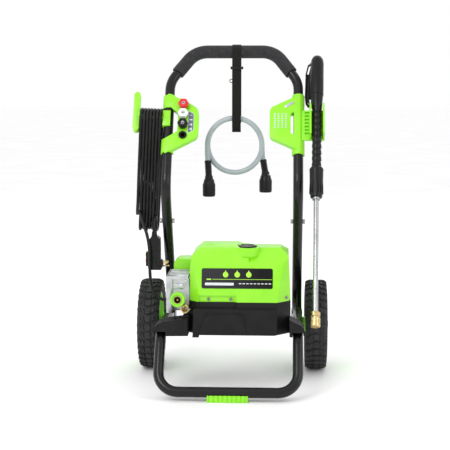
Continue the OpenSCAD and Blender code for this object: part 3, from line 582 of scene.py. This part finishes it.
# ---------- wheels ----------
tyreSpec = {"radius": 117, "rows": 34, "block": 4.2}


def wheelFrame(s):
    hub = Vector((s * lay["wheelX"], lay["axleY"], lay["axleZ"])) * mm
    return Matrix.Translation(hub) @ Matrix.Rotation(s * math.pi / 2, 4, "Y")


def treadRow():
    # a middle hexagon, two swept blocks and two shoulder lugs, flat at the top of the tyre
    top = tyreSpec["radius"]
    base = top - tyreSpec["block"]
    half = 8.6
    shapes = [[(-5.6, -half), (5.6, -half), (8.2, 0), (5.6, half), (-5.6, half), (-8.2, 0)]]
    for s in (-1, 1):
        shapes.append([(s * 7.7, -half + 1), (s * 15.8, -half + 5), (s * 17.6, half - 0.5),
                       (s * 12, half - 1), (s * 10.2, 1.8)])
    pieces = []
    for shape in shapes:
        pieces.append(slab(shape, base - 2, top, "treadBlock"))
    for s in (-1, 1):
        outline = [(s * 17.2, -half + 6.2), (s * 27.6, -half + 9.5), (s * 27.6, half + 0.5),
                   (s * 19.4, half - 1.5)]
        lug = slab(outline, base - 7, top - 0.2, "treadLug")
        for vertex in lug.data.vertices:
            # the lugs follow the rounded shoulder
            drop = max(0, abs(vertex.co.x) - 0.019) / 0.0086
            vertex.co.z -= (4.6 if vertex.co.z > (base - 1) * mm else 8) * mm * drop**1.5
        pieces.append(lug)
    row = joinAll(pieces, "treadRow")
    return softEdges(editWhole(row, outwards), 0.8, 1, 40)


treadBlocks = treadRow()


def tyre(s, name):
    # carcass profile as (radius, across)
    top = tyreSpec["radius"] - tyreSpec["block"]
    wall = [(82, 22), (84, 23.6), (88, 25.5), (93, 26.8), (99, 27.6), (104, 27.8), (108, 26.6), (110.6, 23),
            (top - 0.6, 17), (top, 8)]
    profile = [(r, -z) for r, z in wall] + wall[::-1]
    carcass = turned(profile, name, None, 96, close=True)
    # side rings, one pair on each wall
    rings = []
    for side in (-1, 1):
        for radius, out in ((90, 26.1), (101, 27.6)):
            rings.append(torus(radius, 0.9, (0, 0, side * out), steps=72))
    place = wheelFrame(s)
    rows = []
    for k in range(tyreSpec["rows"]):
        around = Matrix.Rotation(2 * math.pi * k / tyreSpec["rows"], 4, "Z")
        # the flat row has X across and Z up: across becomes the axle, up becomes outwards
        stand = Matrix(((0, 0, 1, 0), (0, 1, 0, 0), (-1, 0, 0, 0), (0, 0, 0, 1)))
        rows.append(copyOf(treadBlocks, around @ stand))
    whole = joinAll([carcass] + rings + rows, name)
    moveMesh(whole, place)
    return whole


rimSpec = {"spokes": 8}


def rim(s, name):
    # moulded wheel centre: rolled edge, dished web, hub and ribs
    shell = turned([(82, -22), (82, 22), (80.6, 23.4), (78.4, 23.4), (76.6, 21), (75.4, 8), (73, 5.2),
                    (24, 6.4), (20.4, 9), (19, 21), (17.6, 23.4), (8, 23.4), (6.06, 22), (6.06, -34),
                    (8, -35), (17.4, -35), (19, -33), (20.4, -5), (24, -2.6), (73, -2.8), (75.4, -6),
                    (76.6, -21), (78.4, -23.4), (80.6, -23.4)], name, None, 96, close=True)
    ribs = []
    for k in range(rimSpec["spokes"]):
        turn = Matrix.Rotation(2 * math.pi * k / rimSpec["spokes"], 4, "Z")
        rib = softEdges(slab([(19, -2.4), (76, -1.7), (76, 1.7), (19, 2.4)], 4, 19, "rib"), 0.8, 2)
        for vertex in rib.data.vertices:
            if vertex.co.z > 0.012:
                vertex.co.z -= (vertex.co.x - 0.019) * 0.12
        ribs.append(moveMesh(rib, turn))
        back = softEdges(slab([(19, -2), (76, -1.5), (76, 1.5), (19, 2)], -17, -1, "rib"), 0.6, 1)
        ribs.append(moveMesh(back, turn))
        # raised pocket edge between the ribs
        pocket = Matrix.Rotation(2 * math.pi * (k + 0.5) / rimSpec["spokes"], 4, "Z")
        ribs.append(moveMesh(torus(13, 1.3, (46, 0, 5.6)), pocket))
    whole = joinAll([shell] + ribs, name)
    return moveMesh(whole, wheelFrame(s))


for s, side in ((-1, "left"), (1, "right")):
    tyrePiece = tyre(s, "tyre" + side.capitalize())
    finishPiece(tyrePiece, tyreRubber, "wheel_" + side, node="tyre_" + side)
    rimPiece = rim(s, "rim" + side.capitalize())
    finishPiece(rimPiece, limeAbs, "wheel_" + side, node="rim_" + side)
bpy.data.objects.remove(treadBlocks)

capPieces = []
for s in (-1, 1):
    capPieces.append(turned([(6.05, 24.1), (14, 24.1), (14, 28), (12.8, 31.2), (9, 32.8), (0, 33)], "axleCap",
                            wheelFrame(s), 40))
capPiece = joinAll(capPieces, "axleCaps")
finishPiece(capPiece, blackNylon, "frame", node="axle_caps")
print("wheels made")

# ---------- housing ----------
def labelMaterial():
    # printed vinyl: dark grey at the left fading to black, satin
    material = surfaceMaterial("printedVinylLabel", "#08080a", "#0e0e10", 20, rough=(0.2, 0.3), grain=2,
                               bump=0.04, coat=0.05, coatRough=0.2, ior=1.3)
    tree = material.node_tree
    shader = tree.nodes["Principled BSDF"]
    place = addNode(tree, "ShaderNodeTexCoord").outputs["Object"]
    across = addNode(tree, "ShaderNodeSeparateXYZ", {0: place}).outputs["X"]
    fade = addNode(tree, "ShaderNodeMapRange", {"Value": across, "From Min": -0.02, "From Max": 0.075})
    shades = addNode(tree, "ShaderNodeValToRGB", {"Fac": fade.outputs[0]})
    shades.color_ramp.elements[0].color = linearColour("#2b2b2e")
    shades.color_ramp.elements[1].color = linearColour("#060607")
    tree.links.new(shades.outputs[0], shader.inputs["Base Color"])
    return material


housing = {"coverEdge": 2.2, "trayEdge": 1.4}
cover = cadCopy("upper_cover", housing["coverEdge"], 3, 24)
finishPiece(cover, limeAbs, "frame", 40)
tray = cadCopy("base_tray", housing["trayEdge"], 2, 24)
emboss = []
# raised apron on the tray's front, and the sunk panel outline on it
trayFront = frontMatrix(lay["coverFront"] - 6)
for a, b in (((-59, 195.6), (31, 195.6)), ((-59, 195.6), (-72, 156)), ((31, 195.6), (44, 148))):
    start, end = Vector(a), Vector(b)
    way = (end - start).normalized()
    side = Vector((-way.y, way.x)) * 1.3
    bar = slab([start - side, end - side, end + side, start + side], -1, 1.6, "embossBar", trayFront)
    emboss.append(softEdges(bar, 0.7, 2))
front = lay["coverFront"]
for x in (-57, 29):
    emboss.append(softEdges(block((x - 4, front - 8, 188), (x + 4, front - 5, 192)), 0.8, 2))
tray = joinAll([tray] + emboss, "baseTray")
finishPiece(tray, blackPolypropylene, "frame", 40)
sideCover = cadCopy("side_cover", 3.2, 3, 24)
finishPiece(sideCover, limeAbs, "frame", 40)

label = {"centre": (19, 279), "size": (172, 49), "corner": 4.5, "thick": 1.2, "slopeFoot": 222}
labelX, labelZ = label["centre"]
labelSpot = Vector((labelX, front + (labelZ - label["slopeFoot"]) * lay["slope"], labelZ)) * mm
labelFrame = Matrix.Translation(labelSpot) @ Matrix.Rotation(math.pi / 2 - math.atan(lay["slope"]), 4, "X")


def roundedOutline(width, height, corner, steps=6):
    points = []
    for cx, cy, start in ((1, 1, 0), (-1, 1, 90), (-1, -1, 180), (1, -1, 270)):
        for k in range(steps + 1):
            a = math.radians(start + 90 * k / steps)
            points.append((cx * (width / 2 - corner) + corner * math.cos(a),
                           cy * (height / 2 - corner) + corner * math.sin(a)))
    return points


plate = slab(roundedOutline(*label["size"], label["corner"]), 0, label["thick"], "labelPlate", labelFrame)
softEdges(plate, 0.35, 2, 50)
finishPiece(plate, labelMaterial(), "frame", node="label_plate")


def printed(shapes, name, material, matrix, height, body="frame"):
    # thin printed shapes, a tenth of a millimetre proud
    pieces = [slab(shape, height, height + 0.12, name, matrix) for shape in shapes]
    return finishPiece(joinAll(pieces, name), material, body, 0)


def strip(x0, y0, x1, y1):
    return [(x0, y0), (x1, y0), (x1, y1), (x0, y1)]


limeInk = surfaceMaterial("limeVinylInk", "#a5e83a", "#b0ee48", 20, rough=(0.3, 0.4), grain=2, bump=0.04)
rules = [strip(-60, -2.6, 84, -1.6), strip(-74, -3.6, -63, -0.6)]
printed(rules, "labelRule", limeInk, labelFrame, label["thick"])
barPlace = labelFrame @ Matrix.Translation((-0.043, -0.0135, 0))
printed([roundedOutline(70, 6.5, 2)], "labelBar", labelPale, barPlace, label["thick"])
printed([strip(4 + 9 * k, -13.4, 10 + 9 * k, -11.2) for k in range(9)], "labelDashes", labelPale, labelFrame,
        label["thick"])
drops = []
for k in range(3):
    cx = -28 + 28 * k
    ring = [(cx + 6.6 * math.sin(a), 9.2 - 6.6 * math.cos(a) + (4.4 if abs(a - math.pi) < 0.2 else 0))
            for a in [2 * math.pi * i / 20 for i in range(20)]]
    drops.append(ring)
printed(drops, "labelDrops", limeInk, labelFrame, label["thick"])


def crossScrew(x, y, z, radius, name="screw"):
    # pan head facing the front; its cross recess is painted shade, two black slabs standing a quarter millimetre
    # proud of the head
    place = frontMatrix(y) @ Matrix.Translation((x * mm, z * mm, 0))
    head = turned([(0, 0), (radius * 0.72, 0), (radius * 0.95, -0.9), (radius, -1.8), (radius, -3), (0, -3)],
                  name, place, 32)
    recessShadeSlabs = []
    for wide, tall in ((0.55, radius * 0.6), (radius * 0.6, 0.55)):
        slot = block((x - wide, y - 0.25, z - tall), (x + wide, y + 0.8, z + tall))
        recessShadeSlabs.append(softEdges(slot, 0.15, 1))
    return head, recessShadeSlabs


heads, crossShadeSlabs = [], []
for x, y, z in ((-50, -136.5, 229), (4, -136.5, 229), (139, -119, 231)):
    head, recessShadeSlabs = crossScrew(x, y, z, 4)
    heads.append(head)
    crossShadeSlabs += recessShadeSlabs
screwPiece = joinAll(heads, "coverScrews")
finishPiece(screwPiece, zincPlate, "frame", node="cover_screws")
# black crosses on the screw heads: painted shade of the recesses
finishPiece(joinAll(crossShadeSlabs, "screwCrossShade"), blackNylon, "frame")

capSpec = {"at": (42.5, -96), "top": 357.6, "ribs": 30}
capPlace = Matrix.Translation((capSpec["at"][0] * mm, capSpec["at"][1] * mm, 0))
top = capSpec["top"]
capBody = turned([(0, top), (9, top - 0.3), (15, top - 1), (20, top - 2.1), (22.6, 355), (23.2, 354),
                  (23.2, 352.8), (22.6, 352.3), (15.9, 352.3), (15.9, 338), (0, 338)], "tankCap", capPlace, 64)
capRibs = []
for k in range(capSpec["ribs"]):
    rib = softEdges(block((22.3, -0.9, 352.5), (23.5, 0.9, 355)), 0.3, 1)
    capRibs.append(moveMesh(rib, capPlace @ Matrix.Rotation(2 * math.pi * k / capSpec["ribs"], 4, "Z")))
grip = softEdges(slab(roundedOutline(30, 5, 2.4), 356.4, 358.4, "capGrip", capPlace), 0.8, 2)
capPiece = joinAll([capBody, grip] + capRibs, "tankCap")
finishPiece(capPiece, blackNylon, "tank_cap", node="tank_cap")
print("housing made")

# ---------- pump and its fittings ----------
pump = cadCopy("pump_head", 1.6, 2, 24)
extras = []
for x in (-146, -106):
    for z in (202, 268):
        extras.append(turned([(0, 3.6), (3, 3.6), (4, 2.8), (4, -1), (0, -1)], "headBolt",
                             frontMatrix(-113) @ Matrix.Translation((x * mm, z * mm, 0)), 24))
for k in range(4):
    # casting ribs on the left wall and the top plate
    extras.append(softEdges(block((-152.5, -92 + 22 * k, 204), (-149, -87 + 22 * k, 268)), 0.8, 2))
    extras.append(softEdges(block((-150, -96 + 24 * k, 280.4), (-104, -92 + 24 * k, 282.6)), 0.7, 2))
extras.append(softEdges(block((-138, -116, 250), (-112, -112, 262)), 1.2, 2))
extras.append(turned([(0, 5), (6.4, 5), (7.4, 4), (7.4, -1), (0, -1)], "valveCap",
                     frontMatrix(-113) @ Matrix.Translation((-117 * mm, 256 * mm, 0)), 6))
pump = joinAll([pump] + extras, "pumpHead")
finishPiece(pump, castAluminium, "frame", 40)

outlet = {"at": (-125, 227.5), "ribs": 24}
outletPlace = frontMatrix(0) @ Matrix.Translation((outlet["at"][0] * mm, outlet["at"][1] * mm, 0))
fitting = turned([(0, 103), (10, 103), (10, 144.2), (9.4, 145), (8.6, 145), (8.2, 144.2), (8.2, 121),
                  (2.2, 121), (2.2, 142), (1.4, 143), (0, 143)], "outletFitting", outletPlace, 48)
finishPiece(fitting, turnedBrass, "frame", node="outlet_fitting")
collar = turned([(10.1, 124.2), (16.6, 124.2), (17.4, 125.2), (17.4, 144.6), (16.4, 146), (14.4, 146),
                 (13.9, 145), (13.6, 143.2), (10.1, 142.6)], "outletCollar", outletPlace, 60, close=True)
collarRibs = []
for k in range(outlet["ribs"]):
    rib = softEdges(block((16.6, -0.9, 127), (17.9, 0.9, 142)), 0.4, 1)
    collarRibs.append(moveMesh(rib, outletPlace @ Matrix.Rotation(2 * math.pi * k / outlet["ribs"], 4, "Z")))
collar = joinAll([collar] + collarRibs, "outletCollar")
finishPiece(collar, limeAbs, "outlet_collar", node="outlet_collar")
well = turned([(2.25, 121.3), (8.15, 121.3)], "outletSeal", outletPlace, 48)
finishPiece(well, blackNylon, "frame")

inletPlace = frontMatrix(0) @ Matrix.Translation((-108 * mm, 203 * mm, 0))
inletProfile = [(7.5, 119), (7.5, 136.4), (8.2, 137), (9.3, 137)]
for k in range(7):
    inletProfile += [(10, 136 - 2 * k), (9.1, 135 - 2 * k)]
inletProfile += [(10, 121), (10, 113.3), (5, 113.3), (5, 101), (0, 101), (0, 119)]
inletFitting = turned(inletProfile, "inletFitting", inletPlace, 48)
finishPiece(inletFitting, turnedBrass, "frame", node="inlet_fitting")

reliefPlace = Matrix.Translation((-0.125, 0.020, 0.197)) @ Matrix.Rotation(-math.pi / 2, 4, "Y")
profile = [(0, -8), (6.5, -8), (6.5, 0), (9, 0), (9, 5), (8.2, 6)]
for k in range(6):
    r = 6.6 - 0.25 * k
    profile += [(r, 6.4 + 3 * k), (r, 8 + 3 * k), (r - 1.1, 8.3 + 3 * k), (r - 1.1, 9.1 + 3 * k)]
profile += [(5.0, 24.6), (4.2, 25), (0, 25)]
relief = turned(profile, "strainRelief", reliefPlace, 32)
finishPiece(relief, cordPvc, "frame", node="strain_relief")

# parts inside keep the CAD shape
for material, nodes in ((tankPolythene, ("detergent_tank",)), (motorIron, ("motor_stator",)),
                        (blackPolypropylene, ("motor_fan", "pressure_switch")),
                        (castAluminium, ("motor_end_plate", "pump_body")),
                        (zincPlate, ("motor_rotor", "motor_bearings", "wobble_plate", "pistons", "axle",
                                     "trigger_pin"))):
    for node in nodes:
        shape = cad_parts[node].data
        shape.materials.clear()
        shape.materials.append(material)
for node, material, width, body, slot in (
        ("axle_brackets", coatedSteel, 0.6, "frame", "frame_paint"),
        ("foot_pad", limeAbs, 0.9, "frame", "green_plastic"),
        ("switch_frame", blackPolypropylene, 0.8, "frame", "black_plastic"),
        ("power_switch", redAbs, 0.8, "power_switch", "red_plastic"),
        ("plug_prongs", turnedBrass, 0.3, "frame", "brass"),
        ("test_button", yellowAbs, 0.5, "test_button", "yellow_plastic"),
        ("reset_button", redAbs, 0.5, "reset_button", "red_plastic"),
        ("cord_hook", limeAbs, 1.8, "frame", "green_plastic")):
    finishPiece(cadCopy(node, width, 2, 28), material, body, 40)

plug = cadCopy("plug_body", 1.8, 3, 24)
plugExtras = []
for k in range(5):
    # finger ribs on both broad faces
    for y in (30.3, 65.2):
        plugExtras.append(softEdges(block((-210, y, 318 + 6 * k), (-191, y + 1.5, 321 + 6 * k)), 0.6, 2))
plugExtras.append(softEdges(block((-208, 30, 290), (-193, 31.4, 306)), 0.6, 2))
plug = joinAll([plug] + plugExtras, "plugBody")
finishPiece(plug, blackNylon, "frame", 40)
print("pump and plug made")

# ---------- strap with its bar and ring ----------
strap = {"x": (-6.5, 16.5), "thick": 1.8, "stitchRows": (626, 632, 664, 670)}
gripCentre = onHandle(0, 0, 397) / mm
strapRadius = 17 + 1.3
strapLine = [(174, 619), (171.4, 634), (170.2, 655), (170.2, 700), (171, 750), (174, 790)]
strapLine += [(gripCentre.y + strapRadius * math.cos(a), gripCentre.z + strapRadius * math.sin(a))
              for a in [math.radians(190 - 12 * k) for k in range(18)]]
strapLine += [(212.6, 800), (211.6, 740), (211, 700), (211, 662), (209.6, 650), (203, 644.2), (190, 642.6),
              (178, 643), (171.6, 646)]


def ribbon(line, x0, x1, thick, name):
    # webbing on edge in the Y-Z plane, widened along X
    fine = catmull([Vector((0, y, z)) * mm for y, z in line], 4)
    points, faces = [], []
    for p in fine:
        points += [(x0 * mm, p.y, p.z), (x1 * mm, p.y, p.z)]
    for k in range(len(fine) - 1):
        faces.append((2 * k, 2 * k + 1, 2 * k + 3, 2 * k + 2))
    piece = applyModifier(meshPiece(points, [], faces, name), "SOLIDIFY", thickness=thick * mm, offset=0)
    return softEdges(editWhole(piece, outwards), 0.5, 2, 50)


strapPiece = ribbon(strapLine, strap["x"][0], strap["x"][1], strap["thick"], "strap")
stitches = []
for z in strap["stitchRows"]:
    y = 170.2 if z < 640 else 168.6
    for k in range(9):
        x = strap["x"][0] + 2.2 + 2.33 * k
        stitches.append(block((x - 0.75, y, z - 0.3), (x + 0.75, y + 1.2, z + 0.3)))
strapPiece = joinAll([strapPiece] + stitches, "strap")
finishPiece(strapPiece, webbing, "frame", node="strap")
buckle = [softEdges(block((-9, 170.5, 783.6), (21, 174.6, 789.6)), 1.4, 3)]
for x in (-8.6, 20.6):
    buckle.append(rod((x, 172.5, 783), (x, 172.5, 790.4), 2.1, sides=16))
buckle.append(torus(4.2, 1, (-8.5, 170.5, 753), turn=(math.pi / 2, 0, 0), sides=10))
finishPiece(joinAll(buckle, "strapBuckle"), blackNylon, "frame")
print("strap made")

# ---------- nozzle panel and nozzles ----------
panel = cadCopy("nozzle_panel", 1.5, 3, 24)
finishPiece(panel, limeAbs, "frame", 40)
nozzles = {"x": -127.5, "rows": (227, 199, 170, 142)}
ringPieces = []
for w in nozzles["rows"]:
    place = panelFrame @ Matrix.Translation((nozzles["x"] * mm, w * mm, 0))
    ringPieces.append(turned([(5.65, 2), (6.9, 2), (6.9, 17), (10.4, 17.05), (10.4, 20), (9.6, 21), (8.2, 21),
                              (6.6, 19.6), (5.65, 19)], "nozzleRing", place, 40, close=True))
    for k in range(4):
        # split fingers of the rubber grommet
        finger = softEdges(block((6.4, -2.2, 17.5), (9.4, 2.2, 21.4)), 0.5, 1)
        ringPieces.append(moveMesh(finger, place @ Matrix.Rotation(math.pi * (k + 0.5) / 2, 4, "Z")))
ringPiece = joinAll(ringPieces, "nozzleRings")
finishPiece(ringPiece, blackNylon, "frame", node="nozzle_rings")
backstop = turned([(0, 3), (5.6, 3)], "ringBackstop", panelFrame @ Matrix.Translation(
    (nozzles["x"] * mm, 142 * mm, 0)), 32)
finishPiece(backstop, blackNylon, "frame")

for w, tint, material, spread in ((227, "red", redAbs, 0), (199, "white", whiteAbs, 40),
                                  (170, "black", blackNylon, 20)):
    place = panelFrame @ Matrix.Translation((nozzles["x"] * mm, w * mm, 0))
    head = turned([(13.0, 22.2), (13.6, 23.2), (13.6, 33), (11.6, 35), (6.4, 35), (5.6, 33.6), (5.6, 24),
                   (6, 22.2)], "nozzleHead", place, 6, close=True)
    softEdges(head, 0.9, 2, 20)
    cone = turned([(5.5, 5), (5.5, 23), (11, 23.4), (11, 22.4)], "nozzleStem", place, 32)
    nozzle = joinAll([head, cone], "nozzle" + tint.capitalize())
    finishPiece(nozzle, material, "nozzle_" + tint, node="nozzle_" + tint)
    insert = turned([(5.55, 24), (5.55, 32.6), (4.6, 33.4), (1.6, 33.4), (1.0, 31.6), (0, 31.6)],
                    "nozzleTip", place, 32)
    # the orifice is painted shade: a black bar across the tip of a fan nozzle, a black disc over the jet hole of
    # the red one
    if spread:
        orificeShade = softEdges(block((-4.4, -0.7, 32.6), (4.4, 0.7, 33.9)), 0.3, 1)
    else:
        orificeShade = turned([(0, 33.9), (1.6, 33.9), (1.9, 33.2), (0, 33.2)], "nozzleJetShade", None, 20)
    moveMesh(orificeShade, place)
    finishPiece(insert, zincPlate if tint != "white" else castAluminium, "nozzle_" + tint)
    finishPiece(orificeShade, blackNylon, "nozzle_" + tint)

printed([[(-115, 212), (-100, 203.5), (-100, 155), (-115, 147.5)]], "nozzleLabel", labelPale, panelFrame, 17)
printed([[(-114, 210.2), (-101, 202.8), (-101, 155.8), (-114, 149.2)]], "nozzleLabelField", labelSlate,
        panelFrame, 17.12)
fans = []
for k, w in enumerate((199, 186, 172, 159)):
    # plain spray fans from narrow to wide
    reach = 1.2 + 1.3 * k
    fans.append([(-111.6, w - 0.6), (-111.6, w + 0.6), (-104, w + reach), (-104, w - reach)])
printed(fans, "nozzleFans", labelPale, panelFrame, 17.24)
print("nozzles made")

# ---------- gun holder ----------
gunPanel = cadCopy("gun_panel", 1.4, 3, 24)
finishPiece(gunPanel, limeAbs, "frame", 40)
dots = []
for i in range(4):
    for k in range(7):
        place = panelFrame @ Matrix.Translation(((106.5 + 9.5 * i) * mm, (165 + 6.3 * k) * mm, 0))
        dots.append(turned([(0, 17.9), (1.5, 17.8), (2.2, 17.2), (2.2, 16.6)], "panelDot", place, 16))
finishPiece(joinAll(dots, "panelDots"), labelPale, "frame")
badge = slab([(130.8, 227), (152.8, 240), (156.4, 233.4), (133, 220)], 17, 18.2, "badge", panelFrame)
softEdges(badge, 0.4, 2)
finishPiece(badge, silverInk, "frame")

# ---------- spray gun and lance ----------
body = cadCopy("gun_body", 1.3, 3, 26)
seams = [turned([(16.6, z - 1), (17.1, z - 0.4), (17.1, z + 0.4), (16.6, z + 1)], "gunBand", gunFrame, 48)
         for z in (252, 338)]
body = joinAll([body] + seams, "gunBody")
finishPiece(body, blackNylon, "gun", 40)
trigger = cadCopy("gun_trigger", 1.0, 2, 26)
finishPiece(trigger, blackPolypropylene, "gun_trigger", 40)

neckProfile = [(0, 238), (6.9, 238), (6.9, 216), (12.6, 216), (12.8, 212)]
for k in range(9):
    z = 206 - 17.5 * k
    neckProfile += [(11.2, z), (10.9, z - 4), (11.4, z - 8), (12.2, z - 12), (11.8, z - 15)]
neckProfile += [(12.2, 47), (14.8, 45), (17.4, 41), (17.7, 39), (17.3, 36), (17.1, 20), (16.2, -4), (15.2, -28),
                (14.6, -35), (13.2, -36), (6.36, -36), (6.36, 20), (0, 20)]
neck = turned(neckProfile, "lanceGrip", gunFrame, 48)
gripRibs = []
for k in range(9):
    # swept finger scallops down the outer side of the neck
    for turn in (-60, -20, 20, 60):
        rib = softEdges(block((10.2, -2.6, -1.6), (12.9, 2.6, 1.6)), 1.2, 2)
        place = gunFrame @ Matrix.Translation((0, 0, (205 - 17.5 * k + turn * 0.08) * mm)) @ Matrix.Rotation(
            math.radians(turn - 20), 4, "Z") @ Matrix.Rotation(math.radians(28), 4, "X")
        gripRibs.append(moveMesh(rib, place))
for k in range(16):
    rib = softEdges(block((15.6, -1.1, -26), (17.0, 1.1, 30)), 0.6, 2)
    taper = Matrix.Rotation(math.radians(-1.6), 4, "Y")
    gripRibs.append(moveMesh(rib, gunFrame @ Matrix.Rotation(2 * math.pi * k / 16, 4, "Z") @ taper))
neck = joinAll([neck] + gripRibs, "lanceGrip")
finishPiece(neck, blackNylon, "gun", 40, node="lance_grip")

lance = turned([(4.8, -340), (6.3, -340), (6.3, -43), (6.9, -42.9), (9.5, -42.4), (9.5, -37),
                (6.4, -36.6), (6.3, 20), (4.8, 20)], "lanceTube", gunFrame, 40, close=True)
finishPiece(lance, stainless, "gun", node="lance_tube")
hexNut = turned([(6.4, -333), (11, -333), (11.7, -334), (11.7, -343), (11, -344), (8, -344), (8, -368),
                 (7.6, -369), (5.6, -369), (5.6, -341), (6.4, -340)], "couplerBody", gunFrame, 6, close=True)
softEdges(hexNut, 0.5, 2, 20)
throat = turned([(5.6, -368), (7.9, -368), (7.9, -345), (5.6, -345)], "couplerThroat", gunFrame, 40, close=True)
coupler = joinAll([hexNut, throat], "couplerBody")
finishPiece(coupler, turnedBrass, "gun", node="coupler_body")
sleeveProfile = [(8.1, -370), (9.6, -370), (11.2, -369.2), (11.7, -368)]
for k in range(5):
    z = -366 + 3 * k
    sleeveProfile += [(11.7, z), (11.1, z + 0.8), (11.1, z + 1.8), (11.7, z + 2.6)]
sleeveProfile += [(11.7, -349), (11, -347.5), (8.1, -347.5)]
sleeve = turned(sleeveProfile, "couplerCollar", gunFrame, 48, close=True)
finishPiece(sleeve, turnedBrass, "coupler_collar", node="coupler_collar")
print("gun and lance made")

# ---------- floor and studio light ----------
deselectAll()
bpy.ops.mesh.primitive_plane_add(size=60, location=(0, 0, 0))
floor = bpy.context.object
floor.name = "floor"
floorPaper = surfaceMaterial("studioPaper", "#fbfbfb", "#ffffff", 400, rough=(0.7, 0.8), grain=8, bump=0.01)
floor.data.materials.append(floorPaper)
world = bpy.data.worlds.new("studio")
world.use_nodes = True
world.node_tree.nodes["Background"].inputs[0].default_value = (1, 1, 1, 1)
world.node_tree.nodes["Background"].inputs[1].default_value = 1.0
scene.world = world
for name, spot, aim, size, power in (("keyLight", (-1.6, -2.6, 2.8), (0, 0, 0.4), 1.6, 44),
                                     ("sideLight", (2.4, -1.4, 1.6), (0, 0, 0.4), 1.4, 10),
                                     ("backLight", (0.4, 2.4, 2.6), (0, 0, 0.5), 1.8, 18)):
    lamp = bpy.data.lights.new(name, "AREA")
    lamp.energy = power
    lamp.size = size
    holder = bpy.data.objects.new(name, lamp)
    holder.location = spot
    holder.rotation_euler = (Vector(aim) - Vector(spot)).to_track_quat("-Z", "Y").to_euler()
    scene.collection.objects.link(holder)
scene.view_settings.view_transform = "Standard"
print("stage lit")
